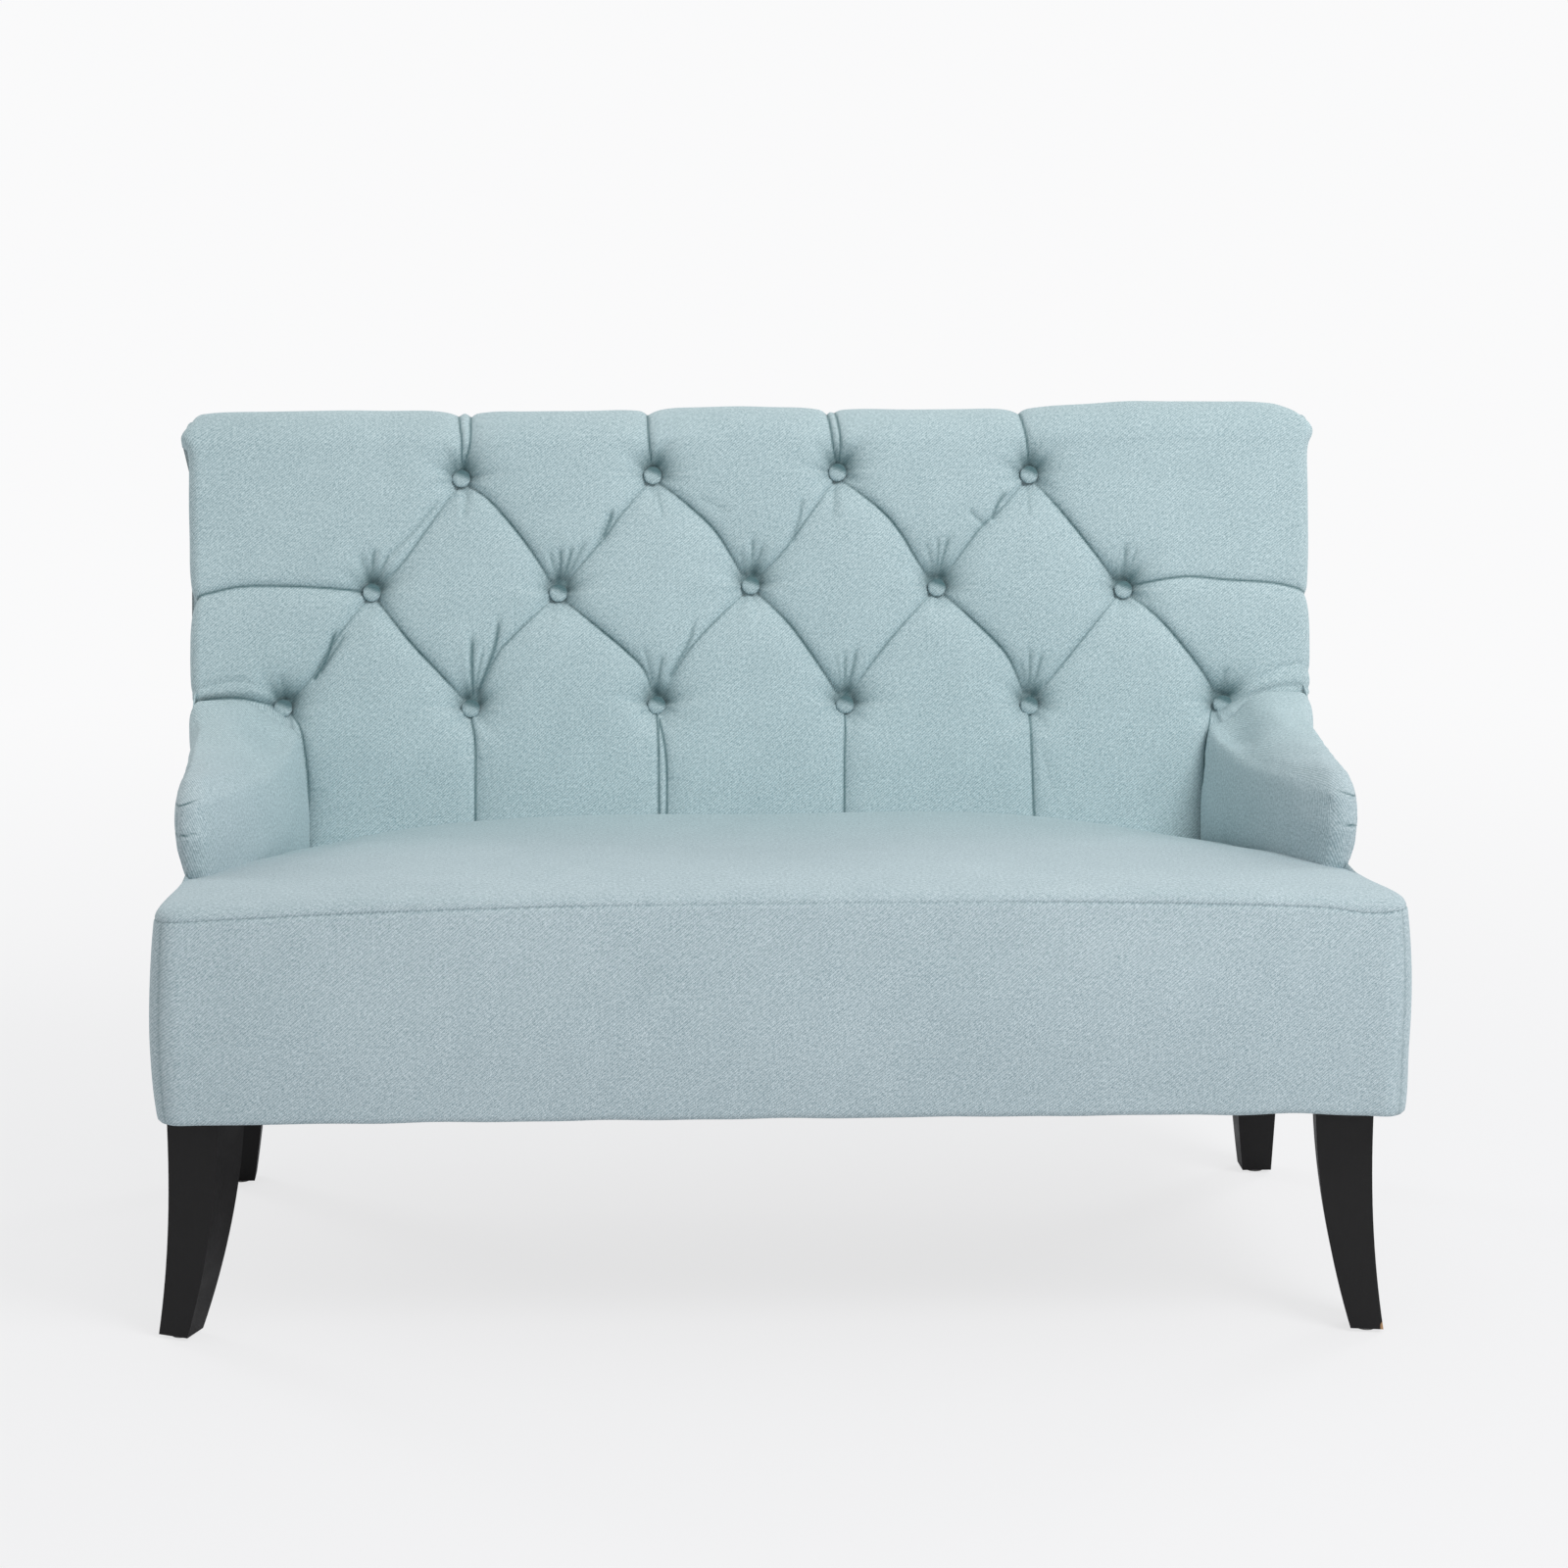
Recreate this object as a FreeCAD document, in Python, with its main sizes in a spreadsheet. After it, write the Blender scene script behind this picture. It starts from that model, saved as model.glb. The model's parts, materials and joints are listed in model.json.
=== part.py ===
"""Two-seat upholstered settee: tufted scroll back, low swept arms, tight seat and sabre legs.

Lengths are millimetres. X runs to the right of someone facing the settee, Y from the front
to the back and Z up. The origin is on the floor under the middle of the settee.
"""
import FreeCAD, Part
import math
import os
import re
import Sketcher
from FreeCAD import Placement, Rotation, Vector

doc = FreeCAD.newDocument("settee")

# Driving dimensions: name, size, meaning.
SIZES = (
    ("gap", 0.3, "clearance between neighbouring pieces"),
    ("overrun", 30, "how far a cutting tool runs past what it cuts"),
    ("cover_thickness", 1.6, "upholstery fabric with its backing"),
    ("wadding", 10, "padding over the seat rails"),
    ("seat_depth", 523, "apron front to the front of the back, at seat level"),
    ("seat_half_width", 613, "middle to the side of the apron, at its seam"),
    ("apron_bottom", 247, "floor to the lower edge of the apron"),
    ("apron_bulge", 7, "swell of the apron at half its height"),
    ("seam_height", 452, "floor to the seam between apron and seat"),
    ("corner_radius", 25, "front corners of the seat, in plan"),
    ("corner_seam_setback", 9, "side of the apron to its front corner seam"),
    ("seat_edge_height", 462, "seat top at its sides"),
    ("seat_crown_height", 479, "seat top at its middle"),
    ("seat_back_edge_height", 428, "seat top at the back corners"),
    ("seat_back_crown_height", 447, "seat top at the middle of the back line"),
    ("seat_front_roll", 14, "height of the rolled front edge"),
    ("seat_shoulder", 11, "roll of the seat's side edges"),
    ("seat_draw_in", 8, "how much narrower the seat gets towards the back"),
    ("rail_thickness", 32, "seat rails"),
    ("rail_height", 135, "seat rails"),
    ("rail_lift", 0.7, "apron's lower edge to the rails"),
    ("stretcher_width", 45, "middle stretcher of the seat"),
    ("stretcher_height", 60, "middle stretcher of the seat"),
    ("block_leg", 95, "corner block along each rail"),
    ("block_height", 45, "corner block"),
    ("dowel_radius", 4, "frame dowels"),
    ("dowel_length", 50, "frame dowels"),
    ("dust_cover_thickness", 1, "cloth under the seat"),
    ("staple_length", 11, "staples of the dust cover"),
    ("staple_wire", 0.7, "staples of the dust cover"),
    ("staple_spacing", 62, "staples of the dust cover"),
    ("spring_wire_radius", 1.8, "zigzag springs"),
    ("spring_half_width", 24, "zigzag springs"),
    ("spring_bend_radius", 11, "zigzag springs"),
    ("spring_lift", 4, "rail top to the underside of the springs"),
    ("spring_spacing", 110, "middle to middle of the zigzag springs"),
    ("clip_length", 16, "spring clips, along the rail"),
    ("clip_width", 18, "spring clips, across the rail"),
    ("deck_cloth_thickness", 1.5, "cloth between springs and foam"),
    ("leg_top_width", 58, "legs at the seat"),
    ("leg_foot_width", 33, "legs at the floor"),
    ("leg_flare", 29, "sabre curve of the legs"),
    ("leg_side_flare", 11, "the lesser sweep of the legs, square to the first"),
    ("leg_half_spacing", 577, "middle to the legs' bolts"),
    ("leg_front_setback", 80, "apron front to the front legs' bolts"),
    ("leg_rear_setback", 556, "apron front to the rear legs' bolts"),
    ("leg_left_turn", 24, "degrees that the front left leg is screwed past square"),
    ("leg_right_turn", 8, "degrees that the front right leg is screwed past square"),
    ("glide_height", 4, "nailed glides"),
    ("glide_radius", 11, "nailed glides"),
    ("glide_nail_radius", 1.5, "nailed glides"),
    ("glide_nail_length", 16, "nailed glides"),
    ("bolt_radius", 4, "hanger bolts of the legs"),
    ("bolt_length", 66, "hanger bolts of the legs"),
    ("insert_radius", 5.5, "threaded inserts in the rails"),
    ("insert_length", 25, "threaded inserts in the rails"),
    ("base_depth", 600, "apron front to the outside back, at its lower edge"),
    ("back_base_height", 449, "floor to where the back meets the seat"),
    ("recline", 13.7, "degrees that the back leans"),
    ("back_rise", 410, "seat to the axis of the scroll, along the back"),
    ("back_half_width", 628, "middle to the side of the back"),
    ("scroll_radius", 45, "rolled top of the back"),
    ("scroll_end_depth", 12.5, "padded ends of the scroll"),
    ("scroll_end_round", 9, "padded ends of the scroll"),
    ("scroll_tuck_angle", 52, "degrees under the scroll where its cover ends"),
    ("core_radius", 24, "batten inside the scroll"),
    ("core_flat_drop", 20, "axis of the batten to its flat underside"),
    ("back_foam_depth", 42, "thickness of the back's padding"),
    ("skirt_drop", 46, "how far the back's padding goes below the seat top"),
    ("skirt_setback", 4, "crown of the back to its foot at the seat"),
    ("side_setback", 7, "crown of the back to its side edges"),
    ("tuft_depth", 26, "crown of the back to the bottom of a tuft"),
    ("crease_depth", 14, "crown of the back to the middle of a crease"),
    ("pleat_depth", 12, "crown of the back to the middle of a side pleat"),
    ("scroll_pleat_depth", 6, "pleats over the scroll"),
    ("button_pitch", 213, "buttons of one row"),
    ("row_1_rise", 380, "seat to the top row of buttons, along the back"),
    ("row_2_rise", 250, "seat to the middle row of buttons"),
    ("row_3_rise", 118, "seat to the bottom row of buttons"),
    ("button_radius", 10, "covered buttons"),
    ("button_height", 6, "covered buttons"),
    ("button_stand_off", 7.6, "back of a button to the bottom of its tuft"),
    ("button_shank_radius", 2, "covered buttons"),
    ("tuft_valley", 1.1, "end of a button's shank to the bottom of its tuft"),
    ("tuft_seat_half", 8, "half the height of the flat bottom of a tuft"),
    ("twine_radius", 1.1, "tufting twine"),
    ("toggle_radius", 8, "discs that anchor the twine"),
    ("toggle_thickness", 2.5, "discs that anchor the twine"),
    ("panel_thickness", 5, "board behind the back's padding"),
    ("back_rail_depth", 18, "rails behind the board"),
    ("back_rail_height", 42, "rails behind the board"),
    ("middle_rail_rise", 168, "seat to the underside of the middle back rail"),
    ("post_width", 34, "posts inside the back"),
    ("post_tenon_depth", 13, "posts and sides where they stand under the batten"),
    ("side_panel_thickness", 15, "plywood sides"),
    ("arm_half_width", 612, "middle to the outside of an arm"),
    ("arm_front_depth", 201, "apron front to the nose of an arm"),
    ("arm_base_height", 421, "floor to the underside of an arm's padding"),
    ("arm_top_height", 574, "floor to the top of an arm, at the back"),
    ("arm_root_width", 115, "arm where it meets the back"),
    ("arm_nose_width", 30, "rolled front of an arm"),
    ("arm_swell", 11, "swell of an arm's inner face"),
    ("arm_padding", 14, "padding over the plywood of an arm"),
    ("side_nose_setback", 35, "nose of an arm to the front of its plywood side"),
    ("card_thickness", 1.2, "card that stiffens the outside back"),
    ("card_margin", 12, "card to the edges of the outside back"),
    ("screw_radius", 2.2, "screws that hold the back rails"),
    ("screw_length", 55, "screws that hold the back rails"),
    ("screw_head_radius", 4.2, "screws that hold the back rails"),
    ("screw_head_height", 2.4, "screws that hold the back rails"),
)

# Places worked out from the driving dimensions: name, rule.
PLACES = (
    ("overall_depth",
     "seat_depth + back_rise * sin(recline) + scroll_radius * (1 + cos(recline))"),
    ("front_y", "0 - overall_depth / 2"),
    ("base_y", "front_y + seat_depth"),
    ("padding", "cover_thickness + wadding + 2 * gap"),
    ("frame_half_width", "seat_half_width - padding"),
    ("frame_front_y", "front_y + apron_bulge + padding"),
    ("side_rail_y", "frame_front_y + rail_thickness"),
    ("frame_back_y", "front_y + base_depth - cover_thickness - gap"),
    ("back_rail_y", "frame_back_y - rail_thickness"),
    ("rail_inside_x", "frame_half_width - rail_thickness"),
    ("rail_bottom", "apron_bottom + rail_lift"),
    ("rail_top", "rail_bottom + rail_height"),
    ("spring_axis_z", "rail_top + spring_lift + spring_wire_radius"),
    ("deck_z", "spring_axis_z + spring_wire_radius + gap"),
    ("seat_foam_z", "deck_z + deck_cloth_thickness + gap"),
    ("leg_top_z", "rail_bottom - dust_cover_thickness"),
    ("leg_front_y", "front_y + leg_front_setback"),
    ("leg_rear_y", "front_y + leg_rear_setback"),
    ("panel_w", "back_foam_depth + gap"),
    ("panel_back_w", "panel_w + panel_thickness"),
    ("core_flat_v", "back_rise - core_flat_drop"),
    ("back_foot_y", "front_y + base_depth"),
    ("side_panel_x", "frame_half_width - side_panel_thickness"),
    ("back_slope_y", "sin(recline)"),
    ("back_slope_z", "cos(recline)"),
    ("scroll_end_x", "back_half_width + gap"),
    ("side_step_rise", "row_3_rise + 2 * tuft_seat_half"),
    ("tuck_rise", "back_rise - scroll_radius * sin(scroll_tuck_angle)"),
    ("post_x", "button_pitch * 0.75"),
    ("back_lining", "cover_thickness + card_thickness + 3 * gap"),
)

SIZE_NAMES = {name for name, size, meaning in SIZES}
PLACE_NAMES = {name for name, formula in PLACES}
WORD = re.compile(r"[a-z][a-z0-9_]*")


def rule(text):
    """Puts the owner of each named size or place before it, as an expression needs."""
    def owned(found):
        word = found.group()
        if word in SIZE_NAMES:
            return "sizes." + word
        if word in PLACE_NAMES:
            return "places." + word
        return word
    return WORD.sub(owned, text)


def make_sheet():
    sheet = doc.addObject("Spreadsheet::Sheet", "sizes")
    for row, (name, size, meaning) in enumerate(SIZES, 1):
        sheet.set("A%d" % row, meaning)
        sheet.set("B%d" % row, str(size))
        sheet.setAlias("B%d" % row, name)
    doc.recompute()
    return sheet


def make_places():
    places = doc.addObject("App::FeaturePython", "places")
    for name, formula in PLACES:
        places.addProperty("App::PropertyFloat", name)
        places.setExpression(name, rule(formula))
    doc.recompute()
    return places


class Values:
    """Reads a named size or place as a plain number."""

    def __init__(self, sheet, places):
        self.sheet = sheet
        self.places = places

    def __getattr__(self, name):
        owner = self.places if name in PLACE_NAMES else self.sheet
        return float(getattr(owner, name))


v = Values(make_sheet(), make_places())
sub_parts = []


def kept(item):
    sub_parts.append(item)
    return item


def bind(item, **rules):
    """Binds properties of an object to rules; _ in a property's name stands for a dot."""
    for path, formula in rules.items():
        item.setExpression(path.replace("_", "."), rule(formula))


def place_at(item, x="0", y="0", z="0"):
    bind(item, Placement_Base_x=x, Placement_Base_y=y, Placement_Base_z=z)


def lean_back(item):
    """Puts a piece drawn upright, with its own origin at the seat line, on the leaning back."""
    place_at(item, y="base_y", z="back_base_height")
    bind(item, Placement_Rotation_Axis_x="1", Placement_Rotation_Axis_y="0",
         Placement_Rotation_Axis_z="0", Placement_Rotation_Angle="0 - recline")


def back_placement():
    return Placement(Vector(0, v.base_y, v.back_base_height),
                     Rotation(Vector(1, 0, 0), -v.recline))


def block(label, size, corner):
    """A squared piece from three size rules and three rules for its lowest corner."""
    item = doc.addObject("Part::Box", label)
    bind(item, Length=size[0], Width=size[1], Height=size[2])
    place_at(item, *corner)
    return item


def rod(label, radius, length, foot, axis=(0, 0, 1)):
    """A round piece from rules for its radius, length and foot."""
    item = doc.addObject("Part::Cylinder", label)
    bind(item, Radius=radius, Height=length)
    place_at(item, *foot)
    item.Placement.Rotation = Rotation(Vector(0, 0, 1), Vector(*axis))
    return item


def together(label, items):
    item = doc.addObject("Part::Compound", label)
    item.Links = items
    return item


def less(label, base, *tools):
    """The base with the tools cut away."""
    tool = tools[0]
    if len(tools) > 1:
        tool = together(label + "_tools", list(tools))
    item = doc.addObject("Part::Cut", label)
    item.Base = base
    item.Tool = tool
    return item


def origin_plane(body, role):
    return next(item for item in body.Origin.OriginFeatures if item.Role == role)


def outline(body, role, corners, offset="0"):
    """A closed sketch through corners that are pairs of rules, on one of the body's planes."""
    sketch = body.newObject("Sketcher::SketchObject", body.Label + "_outline")
    sketch.AttachmentSupport = (origin_plane(body, role), [""])
    sketch.MapMode = "FlatFace"
    bind(sketch, AttachmentOffset_Base_z=offset)
    scratch = doc.addObject("App::FeaturePython", "scratch")
    for axis in ("across", "along"):
        scratch.addProperty("App::PropertyFloat", axis)
    points = []
    for across, along in corners:
        bind(scratch, across=across, along=along)
        scratch.recompute()
        points.append(Vector(scratch.across, scratch.along, 0))
    doc.removeObject(scratch.Name)
    count = len(points)
    for number in range(count):
        sketch.addGeometry(Part.LineSegment(points[number], points[(number + 1) % count]))
    for number in range(count):
        sketch.addConstraint(
            Sketcher.Constraint("Coincident", number, 2, (number + 1) % count, 1))
    for number, (point, rules) in enumerate(zip(points, corners)):
        for kind, size, formula in zip(("DistanceX", "DistanceY"), point, rules):
            held = sketch.addConstraint(Sketcher.Constraint(kind, -1, 1, number, 1, size))
            sketch.setExpression("Constraints[%d]" % held, rule(formula))
    return sketch


def new_body(label):
    return doc.addObject("PartDesign::Body", label)


def sawn(label, role, corners, thickness):
    """A flat piece sawn to an outline, its thickness square to the outline's plane."""
    body = new_body(label)
    sketch = outline(body, role, corners)
    pad = body.newObject("PartDesign::Pad", label + "_pad")
    pad.Profile = sketch
    bind(pad, Length=thickness)
    return body


def turned(label, corners):
    """A piece turned about Z from an outline in the XZ plane."""
    body = new_body(label)
    sketch = outline(body, "XZ_Plane", corners)
    turning = body.newObject("PartDesign::Revolution", label + "_turning")
    turning.Profile = sketch
    turning.ReferenceAxis = (sketch, ["V_Axis"])
    turning.Angle = 360
    return body


def shaped(label, shape, placement=None):
    """A piece whose form is worked out in code from the named sizes."""
    item = doc.addObject("Part::Feature", label)
    item.Shape = shape
    if placement:
        item.Placement = placement
    return item


def copies(label, master, placements):
    """Separate copies of one piece, as a group."""
    doc.recompute()
    shapes = []
    for placement in placements:
        shape = master.Shape.copy()
        shape.Placement = placement.multiply(shape.Placement)
        shapes.append(shape)
    return shaped(label, Part.makeCompound(shapes))


def loft(wires):
    """A solid with straight bands between its sections."""
    return Part.makeLoft(wires, True, True)


def arc(start, middle, end):
    return Part.Arc(start, middle, end).toShape()


def line(start, end):
    return Part.LineSegment(start, end).toShape()


def box_shape(low, high):
    size = high - low
    return Part.makeBox(size.x, size.y, size.z, low)


def mirrored(shape):
    return shape.mirror(Vector(0, 0, 0), Vector(1, 0, 0))


def sides(label, shape):
    """The right-hand piece and its mirror image."""
    kept(shaped(label + "_right", shape))
    kept(shaped(label + "_left", mirrored(shape)))


# Seat frame

def make_seat_rails():
    rails_length = "2 * frame_half_width"
    kept(block("seat_front_rail", (rails_length, "rail_thickness", "rail_height"),
               ("0 - frame_half_width", "frame_front_y", "rail_bottom")))
    kept(block("seat_back_rail", ("2 * rail_inside_x", "rail_thickness", "rail_height"),
               ("0 - rail_inside_x", "back_rail_y", "rail_bottom")))
    for side, x, bolt in (("left", "0 - frame_half_width", "0 - leg_half_spacing"),
                          ("right", "rail_inside_x", "leg_half_spacing")):
        name = "seat_side_rail_" + side
        rail = block(name + "_blank", ("rail_thickness", "frame_back_y - side_rail_y", "rail_height"),
                     (x, "side_rail_y", "rail_bottom"))
        holes = [rod("%s_hole_%d" % (name, number), "insert_radius + gap / 2",
                     "bolt_length", (bolt, y, "rail_bottom - gap"))
                 for number, y in enumerate(("leg_front_y", "leg_rear_y"), 1)]
        holes += [one for one in dowel_rods("dowel_hole_" + side, "gap / 2")
                  if one.Label.endswith(side)]
        kept(less(name, rail, *holes))


def make_stretcher():
    kept(block("seat_centre_stretcher",
               ("stretcher_width", "back_rail_y - side_rail_y", "stretcher_height"),
               ("0 - stretcher_width / 2", "side_rail_y", "rail_bottom")))


def make_corner_blocks():
    blocks = []
    for side in (-1, 1):
        corner = "rail_inside_x * %d" % side
        inner = "(rail_inside_x - block_leg) * %d" % side
        for end, wall, reach in (("front", "side_rail_y", "side_rail_y + block_leg"),
                                 ("rear", "back_rail_y", "back_rail_y - block_leg")):
            label = "corner_block_%s_%s" % (end, "left" if side < 0 else "right")
            body = sawn(label, "XY_Plane", ((corner, wall), (inner, wall), (corner, reach)),
                        "block_height")
            place_at(body, z="rail_bottom")
            blocks.append(body)
    kept(together("corner_blocks", blocks))


def dowel_rods(label, grow):
    """Pegs between the seat's side rails and the plywood sides, or the holes for them."""
    rods = []
    for side, name in ((-1, "left"), (1, "right")):
        for end, y in (("nose", "front_y + arm_front_depth + block_leg"),
                       ("rear", "back_rail_y - block_leg")):
            rods.append(rod("%s_%s_%s" % (label, end, name), "dowel_radius + %s" % grow,
                            "dowel_length + 2 * (%s)" % grow,
                            ("%d * (frame_half_width - side_panel_thickness / 2)" % side, y,
                             "rail_top - dowel_length / 2 - %s" % grow)))
    return rods


def make_dowels():
    kept(together("side_dowels", dowel_rods("dowel", "0")))


# Legs and what holds them

LEG_HEIGHT_SHARES = (0, 0.25, 0.5, 0.75, 1)


def make_leg(label, sweep_x, sweep_y):
    """A sabre leg upright about its bolt's axis, with its foot on a glide."""
    blank = new_body(label + "_blank")
    sketches = []
    for height_share in LEG_HEIGHT_SHARES:
        fall_share = 1 - height_share
        sweep_share = fall_share ** 2
        taper_share = fall_share ** 1.4
        half = "(leg_top_width - (leg_top_width - leg_foot_width) * %.4f) / 2" % taper_share
        middle_x = "(%s) * %.4f" % (sweep_x, sweep_share)
        middle_y = "(%s) * %.4f" % (sweep_y, sweep_share)
        corners = [("%s + %d * (%s)" % (middle_x, right, half), "%s + %d * (%s)" % (middle_y, back, half))
                   for right, back in ((-1, -1), (1, -1), (1, 1), (-1, 1))]
        offset = "glide_height + (leg_top_z - glide_height) * %.4f" % height_share
        sketches.append(outline(blank, "XY_Plane", corners, offset))
    form = blank.newObject("PartDesign::AdditiveLoft", label + "_form")
    form.Profile = sketches[0]
    form.Sections = sketches[1:]
    bolt_hole = rod(label + "_bolt_hole", "bolt_radius + gap / 2", "bolt_length",
                    ("0", "0", "leg_top_z - bolt_length + insert_length + gap"))
    nail_hole = rod(label + "_nail_hole", "glide_nail_radius + gap / 2",
                    "glide_nail_length + 2 * gap",
                    (sweep_x, sweep_y, "glide_height - gap"))
    return less(label, blank, bolt_hole, nail_hole)


def make_legs():
    """The front left leg has been screwed further round than the others."""
    corners = (
        ("leg_front_left", "0 - leg_flare", "0 - leg_side_flare",
         "0 - leg_half_spacing", "leg_front_y", "0 - leg_left_turn"),
        ("leg_front_right", "leg_flare", "0 - leg_side_flare",
         "leg_half_spacing", "leg_front_y", "0 - leg_right_turn"),
        ("leg_rear_left", "0 - leg_side_flare", "leg_flare",
         "0 - leg_half_spacing", "leg_rear_y", "0"),
        ("leg_rear_right", "leg_side_flare", "leg_flare",
         "leg_half_spacing", "leg_rear_y", "0"),
    )
    legs = []
    for label, sweep_x, sweep_y, x, y, turn in corners:
        leg = make_leg(label, sweep_x, sweep_y)
        place_at(leg, x, y)
        bind(leg, Placement_Rotation_Axis_x="0", Placement_Rotation_Axis_y="0",
             Placement_Rotation_Axis_z="1", Placement_Rotation_Angle=turn)
        legs.append(kept(leg))
    return legs


def make_leg_hardware(legs):
    bolt = rod("hanger_bolt", "bolt_radius", "bolt_length - gap",
               ("0", "0", "leg_top_z - bolt_length + insert_length + gap"))
    bore = rod("insert_bore", "bolt_radius + gap / 2", "insert_length * 2",
               ("0", "0", "rail_bottom - gap"))
    barrel = rod("insert_barrel", "insert_radius", "insert_length", ("0", "0", "rail_bottom"))
    insert = less("threaded_insert", barrel, bore)
    glide = turned("glide", (
        ("0", "0"), ("glide_radius * 0.85", "0"), ("glide_radius", "glide_height / 3"),
        ("glide_radius", "glide_height - gap / 2"), ("glide_nail_radius", "glide_height - gap / 2"),
        ("glide_nail_radius", "glide_height + glide_nail_length"),
        ("0", "glide_height + glide_nail_length + gap / 2")))
    doc.recompute()
    upright = [Placement(Vector(leg.Placement.Base), Rotation()) for leg in legs]
    kept(copies("leg_hanger_bolts", bolt, upright))
    kept(copies("leg_threaded_inserts", insert, upright))
    sweeps = ((-v.leg_flare, -v.leg_side_flare), (v.leg_flare, -v.leg_side_flare),
              (-v.leg_side_flare, v.leg_flare), (v.leg_side_flare, v.leg_flare))
    feet = [leg.Placement.multiply(Placement(Vector(x, y, 0), Rotation()))
            for leg, (x, y) in zip(legs, sweeps)]
    kept(copies("foot_glides", glide, feet))


# Cloth under the seat

def make_dust_cover():
    sheet = block("dust_cover_blank",
                  ("2 * frame_half_width", "frame_back_y - frame_front_y", "dust_cover_thickness"),
                  ("0 - frame_half_width", "frame_front_y", "leg_top_z"))
    holes = [rod("dust_cover_hole_%d" % number, "bolt_radius + gap", "dust_cover_thickness + 2 * gap",
                 ("%d * leg_half_spacing" % side, y, "leg_top_z - gap"))
             for number, (side, y) in enumerate(
                 ((-1, "leg_front_y"), (1, "leg_front_y"), (-1, "leg_rear_y"), (1, "leg_rear_y")))]
    kept(less("dust_cover", sheet, *holes))


def make_staples():
    """Staples along the four rails, clear of the legs."""
    staples = []
    along_x = int((v.leg_half_spacing - v.leg_top_width) / v.staple_spacing)
    middle_y = (v.frame_front_y + v.frame_back_y) / 2
    along_y = int((v.leg_rear_y - v.leg_front_y - 2 * v.leg_top_width) / 2 / v.staple_spacing)
    inset = v.rail_thickness / 2
    for step in range(-along_x, along_x + 1):
        for y in (v.frame_front_y + inset, v.frame_back_y - inset):
            staples.append((step * v.staple_spacing, y, v.staple_length, v.staple_wire))
    for step in range(-along_y, along_y + 1):
        for x in (-v.frame_half_width + inset, v.frame_half_width - inset):
            staples.append((x, middle_y + step * v.staple_spacing, v.staple_wire, v.staple_length))
    shapes = []
    for x, y, length, width in staples:
        low = Vector(x - length / 2, y - width / 2, v.leg_top_z - v.staple_wire)
        shapes.append(box_shape(low, Vector(x + length / 2, y + width / 2, v.leg_top_z)))
    kept(shaped("dust_cover_staples", Part.makeCompound(shapes)))


# Suspension

def spring_shape():
    """One zigzag spring, in the XY plane about its own middle, from rail to rail."""
    reach = v.frame_back_y - v.rail_thickness / 2 - (v.frame_front_y + v.rail_thickness / 2)
    bend = v.spring_bend_radius
    turns = int(reach / (2 * bend))
    step = reach / turns
    bend = step / 2
    side = v.spring_half_width - bend
    y = -reach / 2
    edges = [line(Vector(0, y, 0), Vector(-side, y, 0))]
    sign = -1
    for number in range(turns):
        start = Vector(sign * side, y, 0)
        end = Vector(sign * side, y + step, 0)
        middle = Vector(sign * (side + bend), y + step / 2, 0)
        edges.append(arc(start, middle, end))
        y += step
        far = Vector(0 if number == turns - 1 else -sign * side, y, 0)
        edges.append(line(end, far))
        sign = -sign
    path = Part.Wire(edges)
    ring = Part.Wire([Part.makeCircle(v.spring_wire_radius, Vector(0, -reach / 2, 0), Vector(1, 0, 0))])
    return path.makePipeShell([ring], True, False)


def spring_columns():
    """X of each zigzag spring, spread evenly about the middle."""
    room = v.side_panel_x - v.spring_half_width
    count = int(room / v.spring_spacing)
    return [step * v.spring_spacing for step in range(-count, count + 1)]


def make_springs():
    spring = spring_shape()
    middle_y = (v.frame_front_y + v.frame_back_y) / 2
    shapes = []
    for x in spring_columns():
        one = spring.copy()
        one.translate(Vector(x, middle_y, v.spring_axis_z))
        shapes.append(one)
    kept(shaped("zigzag_springs", Part.makeCompound(shapes)))


def make_spring_clips():
    """A plate on the rail under the end of each spring."""
    shapes = []
    rails = (v.frame_front_y + v.rail_thickness / 2, v.frame_back_y - v.rail_thickness / 2)
    half_length = v.clip_length / 2
    half_width = v.clip_width / 2
    top = v.spring_axis_z - v.spring_wire_radius - v.gap
    for x in spring_columns():
        for y in rails:
            low = Vector(x - half_length, y - half_width, v.rail_top)
            shapes.append(box_shape(low, Vector(x + half_length, y + half_width, top)))
    kept(shaped("spring_clips", Part.makeCompound(shapes)))


def make_deck_cloth():
    kept(block("seat_deck_cloth",
               ("2 * side_panel_x - 2 * gap", "back_rail_y - frame_front_y", "deck_cloth_thickness"),
               ("gap - side_panel_x", "frame_front_y", "deck_z")))


# Seat padding, apron and their covers

def plan_wire(z, half, front, back, radius):
    """The seat's outline in plan: straight sides and back, rounded front corners."""
    lean = radius * (1 - math.sqrt(0.5))
    corners = [Vector(half, back, z), Vector(half, front + radius, z),
               Vector(half - radius, front, z), Vector(radius - half, front, z),
               Vector(-half, front + radius, z), Vector(-half, back, z)]
    right = arc(corners[1], Vector(half - lean, front + lean, z), corners[2])
    left = arc(corners[3], Vector(lean - half, front + lean, z), corners[4])
    return Part.Wire([line(corners[0], corners[1]), right, line(corners[2], corners[3]),
                      left, line(corners[4], corners[5]), line(corners[5], corners[0])])


APRON_HEIGHT_SHARES = (0, 0.25, 0.5, 0.75, 1)


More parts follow.
